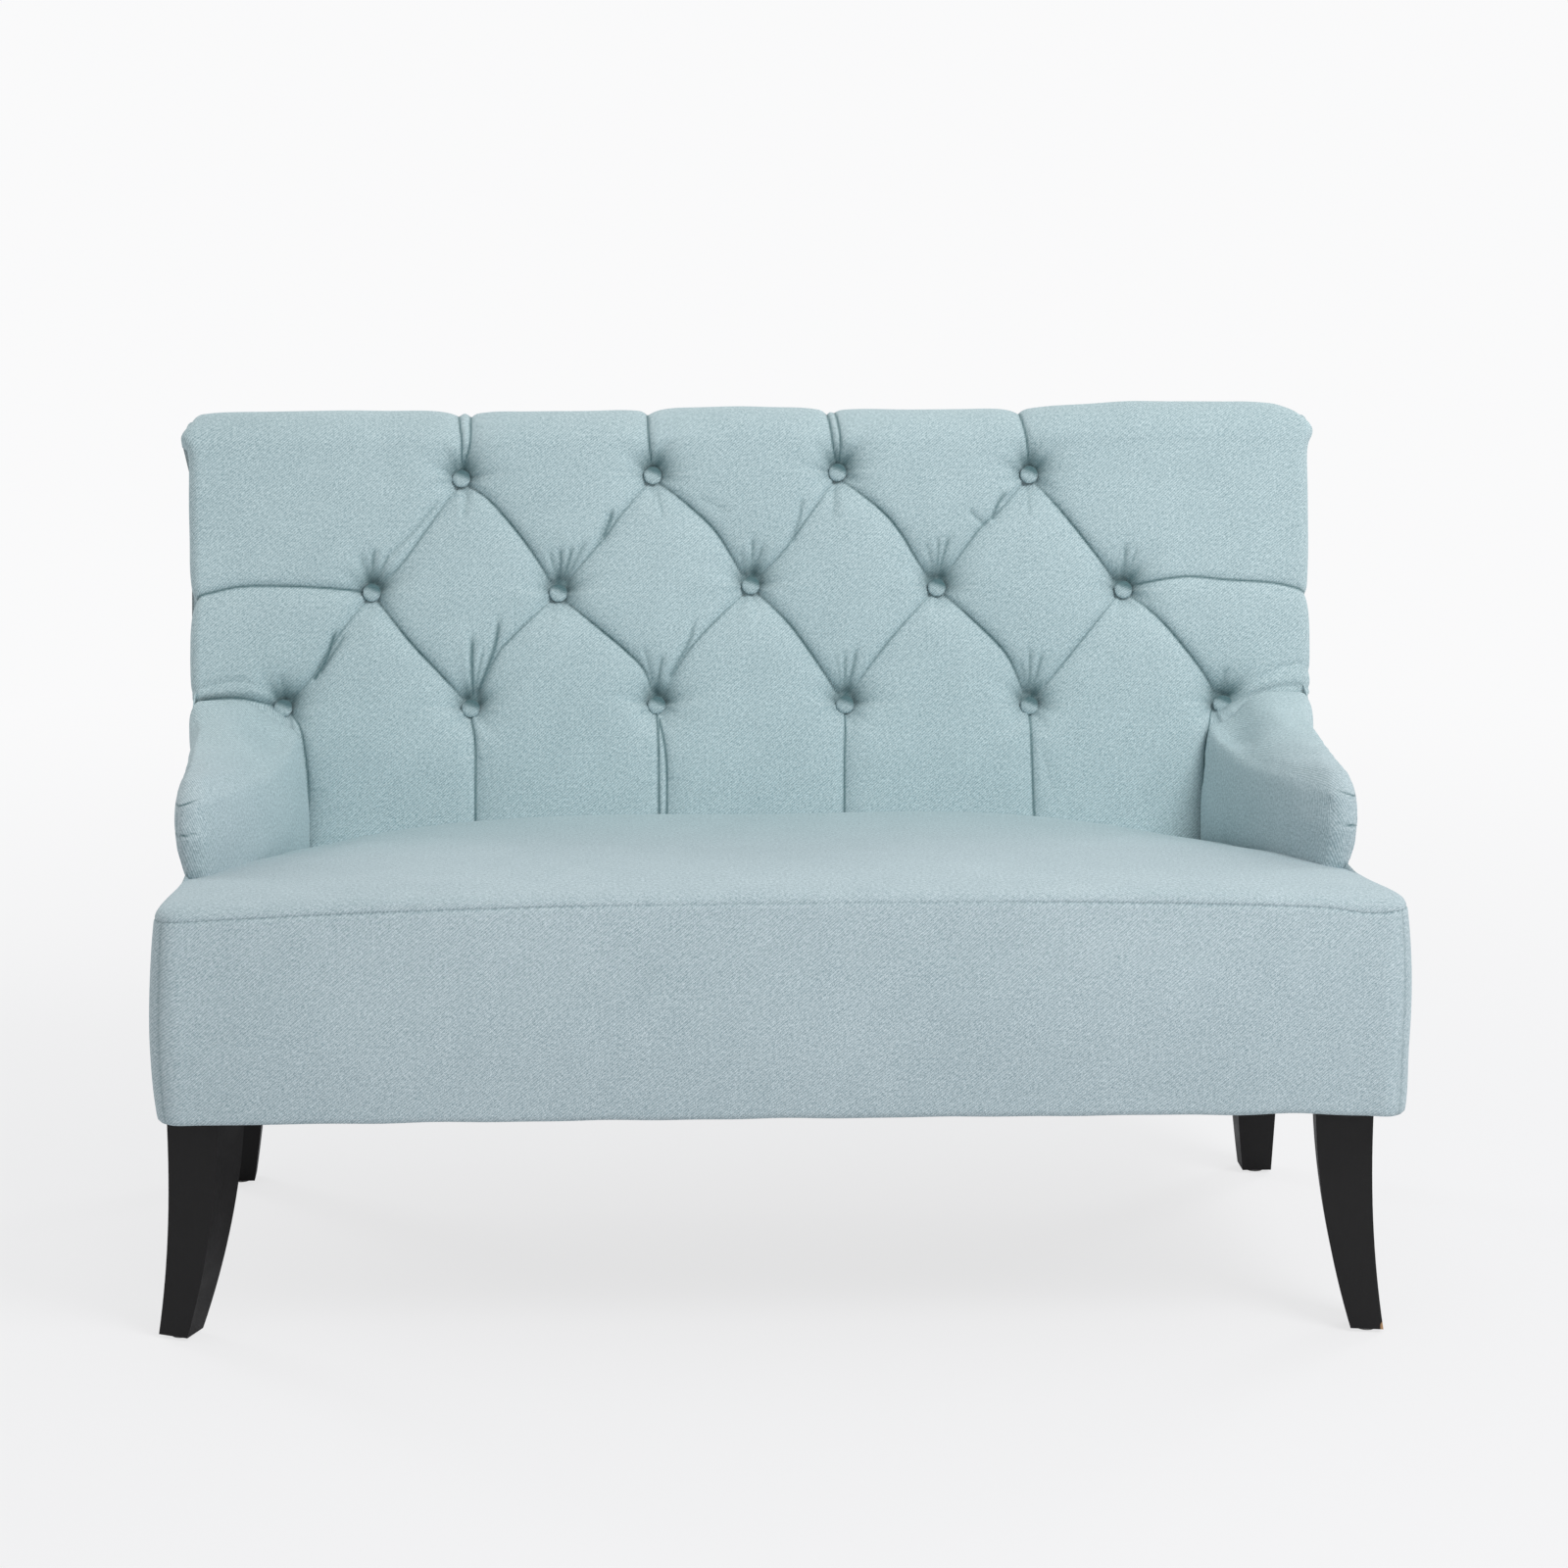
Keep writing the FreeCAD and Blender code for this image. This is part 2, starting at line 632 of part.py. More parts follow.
def apron_solid(inset, back):
    """The bulging box of the seat round its rails, drawn in by inset all round, with straight ends."""
    heights = [v.apron_bottom + (v.seam_height - v.apron_bottom) * height_share
               for height_share in APRON_HEIGHT_SHARES]
    wires = []
    for z in [heights[0] - v.overrun] + heights + [heights[-1] + v.overrun]:
        half_height = (v.seam_height - v.apron_bottom) / 2
        from_middle = min(abs(z - v.apron_bottom - half_height) / half_height, 1)
        bulge = v.apron_bulge * (1 - from_middle ** 2)
        wires.append(plan_wire(z, v.seat_half_width + bulge - inset,
                               v.front_y + v.apron_bulge - bulge + inset, back,
                               v.corner_radius))
    return loft(wires)


def between_heights(low, high):
    """A slab of the whole settee between two heights."""
    wide = v.back_half_width + v.overrun
    return box_shape(Vector(-wide, -v.overall_depth, low), Vector(wide, v.overall_depth, high))


def make_apron():
    back = v.back_foot_y + v.overrun
    outer = apron_solid(0, back).common(between_heights(v.apron_bottom, v.seam_height - v.gap))
    inner = apron_solid(v.cover_thickness, back + v.overrun)
    band = outer.cut([inner, behind_outside_back(v.cover_thickness + v.gap)])
    seam_x = v.seat_half_width - v.corner_seam_setback
    above = v.seam_height + v.overrun
    front_box = box_shape(Vector(-seam_x, -v.overall_depth, 0), Vector(seam_x, v.base_y, above))
    side_box = box_shape(Vector(seam_x + v.gap, -v.overall_depth, 0),
                         Vector(v.seat_half_width + v.overrun, v.overall_depth, above))
    kept(shaped("apron_front_cover", band.common(front_box)))
    sides("apron_side_cover", band.common(side_box))
    padding = apron_solid(v.cover_thickness + v.gap, v.frame_back_y)
    padding = padding.common(between_heights(v.rail_bottom, v.seat_foam_z - v.gap))
    core = box_shape(Vector(-v.frame_half_width - v.gap, v.frame_front_y - v.gap, 0),
                     Vector(v.frame_half_width + v.gap, back + v.overrun, above))
    kept(shaped("rail_wadding", padding.cut(core)))


# Depth along the seat, roll of the front edge and fall towards the back, all as shares.
SEAT_SHARES = ((0, 1, 0), (0.008, 0.48, 0), (0.022, 0.1, 0), (0.05, 0, 0.01), (0.19, 0, 0.05),
               (0.38, 0, 0.24), (0.62, 0, 0.62), (0.85, 0, 0.9), (1.06, 0, 1.05))
EDGE_ROLL_SHARE = 0.5
SHOULDER_DROP_SHARE = 0.6


def seat_wire(depth_share, roll_share, fall_share, inset, bottom):
    """The seat across its width: flat below, rolled side edges and a crowned top."""
    depth = v.seat_depth * depth_share
    y = v.front_y + v.apron_bulge + depth
    y += inset * max(1 - 2 * depth_share, 0)
    half = v.seat_half_width - v.seat_draw_in * fall_share - inset
    if depth < v.corner_radius:
        short = v.corner_radius - depth
        half -= v.corner_radius - math.sqrt(v.corner_radius ** 2 - short ** 2)
    edge = v.seat_edge_height - v.seat_front_roll * roll_share * EDGE_ROLL_SHARE - inset
    edge -= fall_share * (v.seat_edge_height - v.seat_back_edge_height)
    crown = v.seat_crown_height - v.seat_front_roll * roll_share - inset
    crown -= fall_share * (v.seat_crown_height - v.seat_back_crown_height)
    shoulder = v.seat_shoulder
    lean = shoulder * (1 - math.sqrt(0.5))
    side_z = edge - shoulder * SHOULDER_DROP_SHARE
    right = [Vector(half, y, bottom), Vector(half, y, side_z),
             Vector(half - lean, y, edge - lean * SHOULDER_DROP_SHARE),
             Vector(half - shoulder, y, edge)]
    left = [Vector(-point.x, y, point.z) for point in right]
    top = Vector(0, y, crown)
    return Part.Wire([line(left[0], right[0]), line(right[0], right[1]),
                      arc(right[1], right[2], right[3]), arc(right[3], top, left[3]),
                      arc(left[3], left[2], left[1]), line(left[1], left[0])])


def seat_solid(inset, bottom):
    return loft([seat_wire(*shares, inset, bottom) for shares in SEAT_SHARES])


def behind_back(depth):
    """The space that lies further back than this depth behind the crown of the back."""
    wide = v.back_half_width + v.overrun
    shape = box_shape(Vector(-wide, depth, -v.back_base_height), Vector(wide, v.seat_depth, v.back_rise))
    shape.Placement = back_placement()
    return shape


def below_seam():
    """The space below the seam where the apron's cover takes over from the seat's."""
    low_z = v.seat_foam_z - v.overrun
    wide = v.seat_half_width + v.overrun
    front = v.front_y - v.overrun
    inner_x = v.seat_half_width - v.seat_draw_in - v.seat_shoulder
    front_box = box_shape(Vector(-wide, front, low_z),
                          Vector(wide, v.front_y + v.apron_bulge + v.corner_radius, v.seam_height))
    side_box = box_shape(Vector(inner_x, front, low_z), Vector(wide, v.overall_depth, v.seam_height))
    return [front_box, side_box, mirrored(side_box)]


def make_seat(arm_room, panel_room):
    arms = [arm_room, mirrored(arm_room)]
    panels = [panel_room, mirrored(panel_room)]
    foam = seat_solid(v.cover_thickness + v.gap, v.seat_foam_z)
    skin = seat_solid(0, v.seat_foam_z)
    skin = skin.cut(seat_solid(v.cover_thickness, v.seat_foam_z - v.overrun))
    behind = [behind_back(v.skirt_setback - v.gap)]
    kept(shaped("seat_foam", foam.cut(behind + arms + panels)))
    kept(shaped("seat_top_cover", skin.cut(behind + arms + panels + below_seam())))


# Arms

# Height, set-back of the nose, width at the back and width of the nose, as shares.
ARM_SHARES = ((0, 0.06, 1, 1), (0.2, 0.02, 1, 1), (0.45, 0, 0.97, 1), (0.7, 0.03, 0.92, 0.95),
              (0.84, 0.13, 0.84, 0.8), (0.94, 0.34, 0.64, 0.6), (1, 0.55, 0.4, 0.5))
NOSE_ROUND_SHARE = 0.45
SIDE_NOSE_SHARE = 0.4


def back_plane_y(z, depth):
    """Y of the plane that lies depth behind the crown of the back, at height z."""
    lean = math.radians(v.recline)
    return v.base_y + (z - v.back_base_height) * math.tan(lean) + depth / math.cos(lean)


def arm_wire(height_share, nose_share, root_share, tip_share, inset):
    """A level section of the right arm: round nose, swelling inner face, flat outside."""
    z = v.arm_base_height + (v.arm_top_height - inset - v.arm_base_height) * height_share
    back_y = back_plane_y(z, 0)
    end_y = back_y + v.overrun
    front_y = v.front_y + v.arm_front_depth
    nose_y = front_y + (back_y - front_y) * nose_share + inset
    outside = v.arm_half_width - inset
    root = v.arm_half_width - v.arm_root_width * root_share + inset
    tip = v.arm_half_width - v.arm_nose_width * tip_share + inset
    round_y = nose_y + v.arm_nose_width * tip_share * NOSE_ROUND_SHARE
    middle = Vector((outside + tip) / 2, nose_y, z)
    outer_end = Vector(outside, round_y, z)
    inner_end = Vector(tip, round_y, z)
    swell = v.arm_swell * root_share
    bow = Vector((tip + root) / 2 - swell, (round_y + back_y) / 2, z)
    meeting = Vector(root, back_y, z)
    corners = [Vector(root, end_y, z), Vector(outside, end_y, z)]
    return Part.Wire([line(corners[1], outer_end), arc(outer_end, middle, inner_end),
                      arc(inner_end, bow, meeting), line(meeting, corners[0]),
                      line(corners[0], corners[1])])


def arm_solid(inset):
    """An arm that runs on into the back, drawn in by inset."""
    return loft([arm_wire(*shares, inset) for shares in ARM_SHARES])


def leaning_point(depth, rise):
    """Y and Z of a point at this depth behind the crown of the back and this rise along it."""
    point = back_placement().multVec(Vector(0, depth, rise))
    return point.y, point.z


def side_profile(grow):
    """The plywood side in the YZ plane, grown all round by the clearance given."""
    lift = v.arm_top_height - v.arm_padding
    nose = v.front_y + v.arm_front_depth + v.side_nose_setback - grow
    front_z = v.seam_height + (lift - v.seam_height) * SIDE_NOSE_SHARE + grow
    slope_y = nose + 3 * v.arm_padding
    knee_y = back_plane_y(lift, v.panel_back_w) - grow
    top_y, top_z = leaning_point(v.panel_back_w, v.core_flat_v)
    tenon_w = v.panel_back_w + v.post_tenon_depth
    tenon_y, tenon_z = leaning_point(tenon_w, v.core_flat_v)
    notch_y, notch_z = leaning_point(tenon_w, v.tuck_rise - v.gap)
    rear_y, rear_z = leaning_point(outside_back_w(v.tuck_rise - v.gap, v.back_lining),
                                   v.tuck_rise - v.gap)
    rear_low = outside_back_y(v.rail_top) - v.back_lining
    return [(nose, v.rail_top), (nose, front_z), (slope_y, lift - 2 * v.arm_padding + grow),
            (knee_y, lift + grow), (top_y - grow, top_z + grow), (tenon_y + grow, tenon_z + grow),
            (notch_y + grow, notch_z + grow), (rear_y + grow, rear_z + grow),
            (rear_low + grow, v.rail_top)]


def outside_back_y(z):
    """Y of the outside back at height z: it leans less than the inside."""
    depth = v.scroll_radius * (1 + math.cos(math.radians(v.scroll_tuck_angle)))
    top_y, top_z = leaning_point(depth, v.tuck_rise)
    return v.back_foot_y + (top_y - v.back_foot_y) * (z - v.apron_bottom) / (top_z - v.apron_bottom)


def outside_back_w(rise, clear):
    """Depth behind the crown of the back, at this rise, of the outside back less the clearance."""
    y, z = leaning_point(0, rise)
    slope = (outside_back_y(v.seam_height) - v.back_foot_y) / (v.seam_height - v.apron_bottom)
    return (outside_back_y(z) - clear - y) / (v.back_slope_z + slope * v.back_slope_y)


def behind_outside_back(clear):
    """The space behind the outside back, brought forward by the clearance given."""
    far = v.overall_depth * 2
    wide = v.back_half_width + v.overrun
    low, high = -v.overall_depth, v.overall_depth * 2
    corners = [Vector(-wide, outside_back_y(low) - clear, low), Vector(-wide, far, low),
               Vector(-wide, far, high), Vector(-wide, outside_back_y(high) - clear, high)]
    return Part.Face(Part.makePolygon(corners + corners[:1])).extrude(Vector(2 * wide, 0, 0))


def screw_rods(radius, length, side):
    """Rods from the outside of a plywood side into the ends of the back rails."""
    lean = back_placement()
    w = v.panel_back_w + v.back_rail_depth / 2
    shapes = []
    for rise in back_rail_rises():
        foot = Vector(side * v.frame_half_width, w, rise + v.back_rail_height / 2)
        one = Part.makeCylinder(radius, length, foot, Vector(-side, 0, 0))
        one.Placement = lean.multiply(one.Placement)
        shapes.append(one)
    return shapes


def side_panel_shape(grow):
    points = side_profile(grow)
    corners = [Vector(v.side_panel_x - grow, y, z) for y, z in points]
    face = Part.Face(Part.makePolygon(corners + corners[:1]))
    return face.extrude(Vector(v.side_panel_thickness + 2 * grow, 0, 0))


def make_sides_and_arms():
    rods = dowel_rods("dowel_room", "gap / 2")
    doc.recompute()
    tools = [one.Shape for one in rods if one.Label.endswith("right")]
    tools += screw_rods(v.screw_radius + v.gap / 2, v.screw_length, 1)
    tools += screw_rods(v.screw_head_radius + v.gap / 2, v.screw_head_height + v.gap, 1)
    sides("side_panel", side_panel_shape(0).cut(tools))
    room = side_panel_shape(v.gap)
    below = box_shape(Vector(v.frame_half_width - v.wadding, -v.overall_depth, 0),
                      Vector(v.seat_half_width + v.overrun, v.overall_depth, v.seam_height + v.gap))
    behind = behind_back(-v.gap)
    sides("arm_foam", arm_solid(v.cover_thickness + v.gap).cut([behind, room, below]))
    skin = arm_solid(0).cut([behind, arm_solid(v.cover_thickness), below])
    split = v.arm_half_width - v.cover_thickness * 2
    inner_box = box_shape(Vector(0, -v.overall_depth, 0),
                          Vector(split, v.overall_depth, v.back_rise * 2))
    outer_box = box_shape(Vector(split + v.gap, -v.overall_depth, 0),
                          Vector(v.arm_half_width + v.overrun, v.overall_depth, v.back_rise * 2))
    sides("inside_arm_cover", skin.common(inner_box))
    rear = beside_back(v.arm_half_width - v.cover_thickness, v.arm_half_width, -v.gap,
                       v.seam_height - v.back_base_height - v.seat_depth, v.side_step_rise,
                       v.cover_thickness + v.gap)
    rear = rear.common(between_heights(v.seam_height + v.gap, v.overall_depth * 2))
    sides("outside_arm_cover", skin.common(outer_box).fuse(rear).removeSplitter())
    return arm_solid(-v.gap), room


def beside_back(low_x, high_x, depth, low_rise, high_rise, back_clear):
    """A slab at the side of the back, from a depth behind the crown to the outside back."""
    slab = box_shape(Vector(low_x, depth, low_rise), Vector(high_x, v.seat_depth, high_rise))
    slab.Placement = back_placement()
    return slab.cut(behind_outside_back(back_clear))


# Back

class Column:
    """The back's front surface above one place across it, as named points and the arcs between."""

    def __init__(self, x, points, swells):
        self.x = x
        self.points = dict(points)
        self.names = [name for name, point in points]
        self.edges = {}
        for lower, upper, swell in zip(self.names, self.names[1:], swells):
            self.edges[lower] = self.edge(self.points[lower], self.points[upper], swell)

    def edge(self, lower, upper, swell):
        if isinstance(swell, Vector):
            return arc(lower, swell, upper)
        if not swell:
            return line(lower, upper)
        along = (upper - lower).normalize()
        out = Vector(0, -along.z, along.y)
        return arc(lower, (lower + upper) * 0.5 + out * swell, upper)


def scroll_point(x, degrees, radius):
    """A point on the scroll, its angle counted up from straight forward."""
    angle = math.radians(degrees)
    return Vector(x, v.scroll_radius - radius * math.cos(angle), v.back_rise + radius * math.sin(angle))


def column(x, out, tufts, swells, pleat):
    """A column at x, its surface moved out by the offset; tufts are points between seat and scroll."""
    radius = v.scroll_radius - pleat + out
    under = 180 + v.scroll_tuck_angle
    points = [("foot", Vector(x, v.skirt_setback - out, -v.skirt_drop)),
              ("seat", Vector(x, v.skirt_setback - out, 0))]
    points += [(name, Vector(x, depth - out, rise)) for name, depth, rise in tufts]
    points += [("scroll", scroll_point(x, 0, radius)), ("top", scroll_point(x, 90, radius)),
               ("tuck", scroll_point(x, under, radius))]
    over = [scroll_point(x, 45, radius), scroll_point(x, (90 + under) / 2, radius)]
    return Column(x, points, [0] + swells + over)


def tuft(name, rise):
    """The short flat bottom of a tuft, where its button sits."""
    return [(name + "_low", v.tuft_depth, rise - v.tuft_seat_half),
            (name + "_high", v.tuft_depth, rise + v.tuft_seat_half)]


def button_rows():
    """Rise and places across of each row of buttons."""
    pitch = v.button_pitch
    return ((v.row_1_rise, [pitch * step for step in (-1.5, -0.5, 0.5, 1.5)]),
            (v.row_2_rise, [pitch * step for step in (-2, -1, 0, 1, 2)]),
            (v.row_3_rise, [pitch * step for step in (-2.5, -1.5, -0.5, 0.5, 1.5, 2.5)]))


# Swell of the padding between two points of a column, as shares of the tuft depth.
CROWN_SWELL_SHARES = (0.49, 0.4, 0.95)
MIDDLE_SWELL_SHARES = (0.36, 0.42, 0.3)
PLEAT_SWELL_SHARES = (0.12, 0.04)


def back_columns(out):
    """Columns from the middle to the right-hand side of the back."""
    pitch = v.button_pitch
    depth = v.tuft_depth
    crease = v.crease_depth
    half_pleat = v.scroll_pleat_depth / 3
    low_crease = ("low", crease, (v.row_2_rise + v.row_3_rise) / 2)
    high_crease = ("high", crease, (v.row_1_rise + v.row_2_rise) / 2)
    crown = [CROWN_SWELL_SHARES[0] * depth, 0, CROWN_SWELL_SHARES[1] * depth]
    between = [share * depth for share in MIDDLE_SWELL_SHARES]
    pleated = [PLEAT_SWELL_SHARES[0] * depth, 0, CROWN_SWELL_SHARES[2] * depth, 0,
               PLEAT_SWELL_SHARES[1] * depth]
    row_1 = tuft("row_1", v.row_1_rise)
    row_2 = tuft("row_2", v.row_2_rise)
    row_3 = tuft("row_3", v.row_3_rise)
    columns = []
    for number in range(4):
        x = pitch * number / 2
        if number % 2:
            columns.append(column(x, out, row_3 + row_1, pleated, v.scroll_pleat_depth))
        else:
            columns.append(column(x, out, row_2, crown, 0))
        columns.append(column(x + pitch / 4, out, [low_crease, high_crease], between, half_pleat))
    columns.append(column(pitch * 2, out, row_2, crown, 0))
    side_pleat = ("pleat", v.pleat_depth, v.row_2_rise)
    columns.append(column(pitch * 2.25, out, [low_crease, side_pleat],
                          [between[0], between[0] / 2, crown[2]], 0))
    columns.append(column(pitch * 2.5, out, row_3 + [side_pleat],
                          [pleated[0], 0, crown[2], crown[2]], 0))
    edge_depth = v.side_setback + v.skirt_setback / 2
    columns.append(column(v.back_half_width - v.cover_thickness + out, out,
                          [("low_pleat", edge_depth, v.side_step_rise),
                           ("pleat", edge_depth, v.row_2_rise)],
                          [0, between[0] / 2, between[0] / 2], 0))
    return columns


# Which points of two neighbouring columns are joined across, from the seat up to the scroll.
JOINS = {
    "row_2 middle": (("row_2_low", "low"), ("row_2_high", "high")),
    "middle pleated": (("low", "row_3_low"), ("low", "row_3_high"), ("high", "row_1_low"),
                       ("high", "row_1_high")),
    "row_2 outer": (("row_2_low", "low"), ("row_2_high", "pleat")),
    "outer row_3": (("low", "row_3_low"), ("low", "row_3_high"), ("pleat", "pleat")),
    "row_3 side": (("row_3_low", "low_pleat"), ("row_3_high", "low_pleat"), ("pleat", "pleat")),
}
COLUMN_KINDS = ("row_2", "middle", "pleated", "middle", "row_2", "middle", "pleated", "middle",
                "row_2", "outer", "row_3", "side")


def band_faces(left, right, joins):
    """Faces between two neighbouring columns: ruled between arcs, or flat where one side is a point."""
    ends = (("foot", "foot"), ("seat", "seat")), (("scroll", "scroll"), ("top", "top"), ("tuck", "tuck"))
    pairs = ends[0] + joins + ends[1]
    faces = []
    for (left_low, right_low), (left_high, right_high) in zip(pairs, pairs[1:]):
        if left_low != left_high and right_low != right_high:
            faces.append(Part.makeRuledSurface(left.edges[left_low], right.edges[right_low]))
            continue
        still, moving = (left, right) if left_low == left_high else (right, left)
        apex = still.points[left_low if still is left else right_low]
        side = moving.edges[right_low if still is left else left_low]
        start, end = side.Vertexes[0].Point, side.Vertexes[-1].Point
        faces.append(Part.Face(Part.Wire([line(apex, start), side, line(end, apex)])))
    return faces


def mirrored_column(source):
    flipped = Column(-source.x, [], [])
    flipped.names = source.names
    flipped.points = {name: Vector(-point.x, point.y, point.z) for name, point in source.points.items()}
    flipped.edges = {name: mirrored(edge).Edges[0] for name, edge in source.edges.items()}
    return flipped


def back_surface(out):
    """Columns right across the back and the faces between them."""
    right = back_columns(out)
    columns = [mirrored_column(one) for one in reversed(right[1:])] + right
    kinds = list(reversed(COLUMN_KINDS[1:])) + list(COLUMN_KINDS)
    faces = []
    for number, (left_kind, right_kind) in enumerate(zip(kinds, kinds[1:])):
        left, after = columns[number], columns[number + 1]
        if left_kind + " " + right_kind in JOINS:
            joins = JOINS[left_kind + " " + right_kind]
        else:
            joins = tuple((b, a) for a, b in JOINS[right_kind + " " + left_kind])
        faces += band_faces(left, after, joins)
    return columns, faces


def path_through(columns, name):
    points = [one.points[name] for one in columns]
    return [line(a, b) for a, b in zip(points, points[1:])]


def closed_solid(faces):
    shell = Part.makeShell(faces)
    shell.sewShape()
    solid = Part.Solid(shell if shell.ShapeType == "Shell" else shell.Shells[0])
    if solid.Volume < 0:
        solid.reverse()
    return solid


def foam_inside(x):
    """The back edge of the padding at x: up the board, round the batten and out under the scroll."""
    radius = v.core_radius + v.gap
    flat = v.core_flat_drop + v.gap
    half_chord = math.sqrt(radius ** 2 - flat ** 2)
    under = 180 + v.scroll_tuck_angle
    low = Vector(x, v.back_foam_depth, -v.skirt_drop)
    corner = Vector(x, v.back_foam_depth, v.back_rise - flat)
    nose = Vector(x, v.scroll_radius - half_chord, v.back_rise - flat)
    front = scroll_point(x, 0, radius)
    top = scroll_point(x, 90, radius)
    end = scroll_point(x, under, radius)
    rise = math.degrees(math.asin(flat / radius)) / 2
    return [line(low, corner), line(corner, nose), arc(nose, scroll_point(x, -rise, radius), front),
            arc(front, scroll_point(x, 45, radius), top),
            arc(top, scroll_point(x, (90 + under) / 2, radius), end)]


def ends_of(edges):
    return edges[0].Vertexes[0].Point, edges[-1].Vertexes[-1].Point


def make_back_foam():
    columns, faces = back_surface(-(v.cover_thickness + v.gap))
    left, right = columns[0], columns[-1]
    inside_left, inside_right = foam_inside(left.x), foam_inside(right.x)
    for one, other in zip(inside_left, inside_right):
        faces.append(Part.makeRuledSurface(one, other))
    for side, inside in ((left, inside_left), (right, inside_right)):
        low, end = ends_of(inside)
        edges = [side.edges[name] for name in side.names[:-1]]
        edges += inside + [line(side.points["foot"], low), line(side.points["tuck"], end)]
        faces.append(Part.Face(Part.Wire(Part.__sortEdges__(edges))))
    for name, number in (("foot", 0), ("tuck", 1)):
        a = ends_of(inside_left)[number]
        b = ends_of(inside_right)[number]
        edges = path_through(columns, name)
        edges += [line(a, b), line(left.points[name], a), line(right.points[name], b)]
        faces.append(Part.Face(Part.Wire(Part.__sortEdges__(edges))))
    return closed_solid(faces)


def make_back_cover():
    outer_columns, faces = back_surface(0)
    inner_columns, inner_faces = back_surface(-v.cover_thickness)
    faces += inner_faces
    for number in (0, -1):
        outer, inner = outer_columns[number], inner_columns[number]
        faces += [Part.makeRuledSurface(outer.edges[name], inner.edges[name])
                  for name in outer.names[:-1]]
    for name in ("foot", "tuck"):
        for one, other in zip(path_through(outer_columns, name), path_through(inner_columns, name)):
            faces.append(Part.makeRuledSurface(one, other))
    return closed_solid(faces)


def tuft_rods(radius, low, high):
    """A rod at each button, square to the back, from one depth to another."""
    return [Part.makeCylinder(radius, high - low, Vector(x, low, rise), Vector(0, 1, 0))
            for rise, places in button_rows() for x in places]


def local(shape):
    """A shape of the whole settee as the leaning back sees it."""
    moved = shape.copy()
    moved.Placement = back_placement().inverse().multiply(moved.Placement)
    return moved


def make_back(panel_room):
    side_room = local(panel_room)
    edge_x = v.arm_half_width - v.cover_thickness - v.gap
    low_side = box_shape(Vector(edge_x, -v.overrun, -v.skirt_drop - v.overrun),
                         Vector(v.back_half_width + v.overrun, v.seat_depth, v.side_step_rise))
    tools = tuft_rods(v.twine_radius + v.gap / 2, 0, v.panel_back_w + v.overrun)
    tools += [side_room, mirrored(side_room), low_side, mirrored(low_side)]
    kept(shaped("back_foam", make_back_foam().cut(tools), back_placement()))
    kept(shaped("inside_back_cover", make_back_cover().cut(tools), back_placement()))


def make_button_parts():
    lean = back_placement()
    out = Rotation(Vector(0, 0, 1), Vector(0, 1, 0))
    button = turned("covered_button", (
        ("0", "0"), ("button_radius * 0.5", "button_height * 0.05"),
        ("button_radius * 0.85", "button_height * 0.25"), ("button_radius", "button_height * 0.6"),
        ("button_radius", "button_height * 0.85"), ("button_radius * 0.9", "button_height"),
        ("button_shank_radius", "button_height"),
        ("button_shank_radius", "button_height + button_stand_off - tuft_valley"),
        ("0", "button_height + button_stand_off - tuft_valley")))
    twine = rod("twine", "twine_radius",
                "panel_back_w + toggle_thickness + gap - tuft_depth + tuft_valley",
                ("0", "0", "0"))
    toggle_disc = rod("toggle_disc", "toggle_radius", "toggle_thickness", ("0", "0", "0"))
    toggle_hole = rod("toggle_hole", "twine_radius + gap / 2", "toggle_thickness * 3",
                      ("0", "0", "0 - toggle_thickness"))
    toggle = less("toggle", toggle_disc, toggle_hole)
    for label, master, depth in (
            ("tufting_buttons", button, v.tuft_depth - v.button_stand_off - v.button_height),
            ("tufting_twines", twine, v.tuft_depth - v.tuft_valley),
            ("twine_toggles", toggle, v.panel_back_w + v.gap)):
        kept(copies(label, master, [lean.multiply(Placement(Vector(x, depth, rise), out))
                                    for rise, places in button_rows() for x in places]))


def make_tufting_board(panel_room):
    board = block("tufting_board_blank",
                  ("2 * frame_half_width", "panel_thickness", "core_flat_v + skirt_drop"),
                  ("0 - frame_half_width", "panel_w", "0 - skirt_drop"))
    doc.recompute()
    tools = tuft_rods(v.twine_radius + v.gap, 0, v.panel_back_w + v.overrun)
    tools += [local(panel_room), mirrored(local(panel_room))]
    kept(shaped("tufting_board", board.Shape.cut(tools), back_placement()))


def back_rail_rises():
    return (v.panel_thickness - v.skirt_drop, v.middle_rail_rise)


def make_back_rails():
    """A lower and a middle rail, each in three lengths between the posts and the sides."""
    lean = back_placement()
    post_in, post_out = v.post_x - v.post_width / 2, v.post_x + v.post_width / 2
    holes = screw_rods(v.screw_radius + v.gap / 2, v.screw_length + v.gap, 1)
    for name, rise in zip(("lower", "middle"), back_rail_rises()):
        lengths = []
        for low_x, high_x in ((-post_in, post_in), (post_out, v.side_panel_x)):
            rail = box_shape(Vector(low_x, v.panel_back_w, rise),
                             Vector(high_x, v.panel_back_w + v.back_rail_depth,
                                    rise + v.back_rail_height))
            rail.Placement = lean.multiply(rail.Placement)
            lengths.append(rail.cut(holes))
        lengths.append(mirrored(lengths[-1]))
        kept(shaped("back_%s_rails" % name, Part.makeCompound(lengths)))


def make_screws():
    screws = []
    for side in (-1, 1):
        shanks = screw_rods(v.screw_radius, v.screw_length, side)
        heads = screw_rods(v.screw_head_radius, v.screw_head_height, side)
        screws += [shank.fuse(head) for shank, head in zip(shanks, heads)]
    kept(shaped("back_rail_screws", Part.makeCompound(screws)))


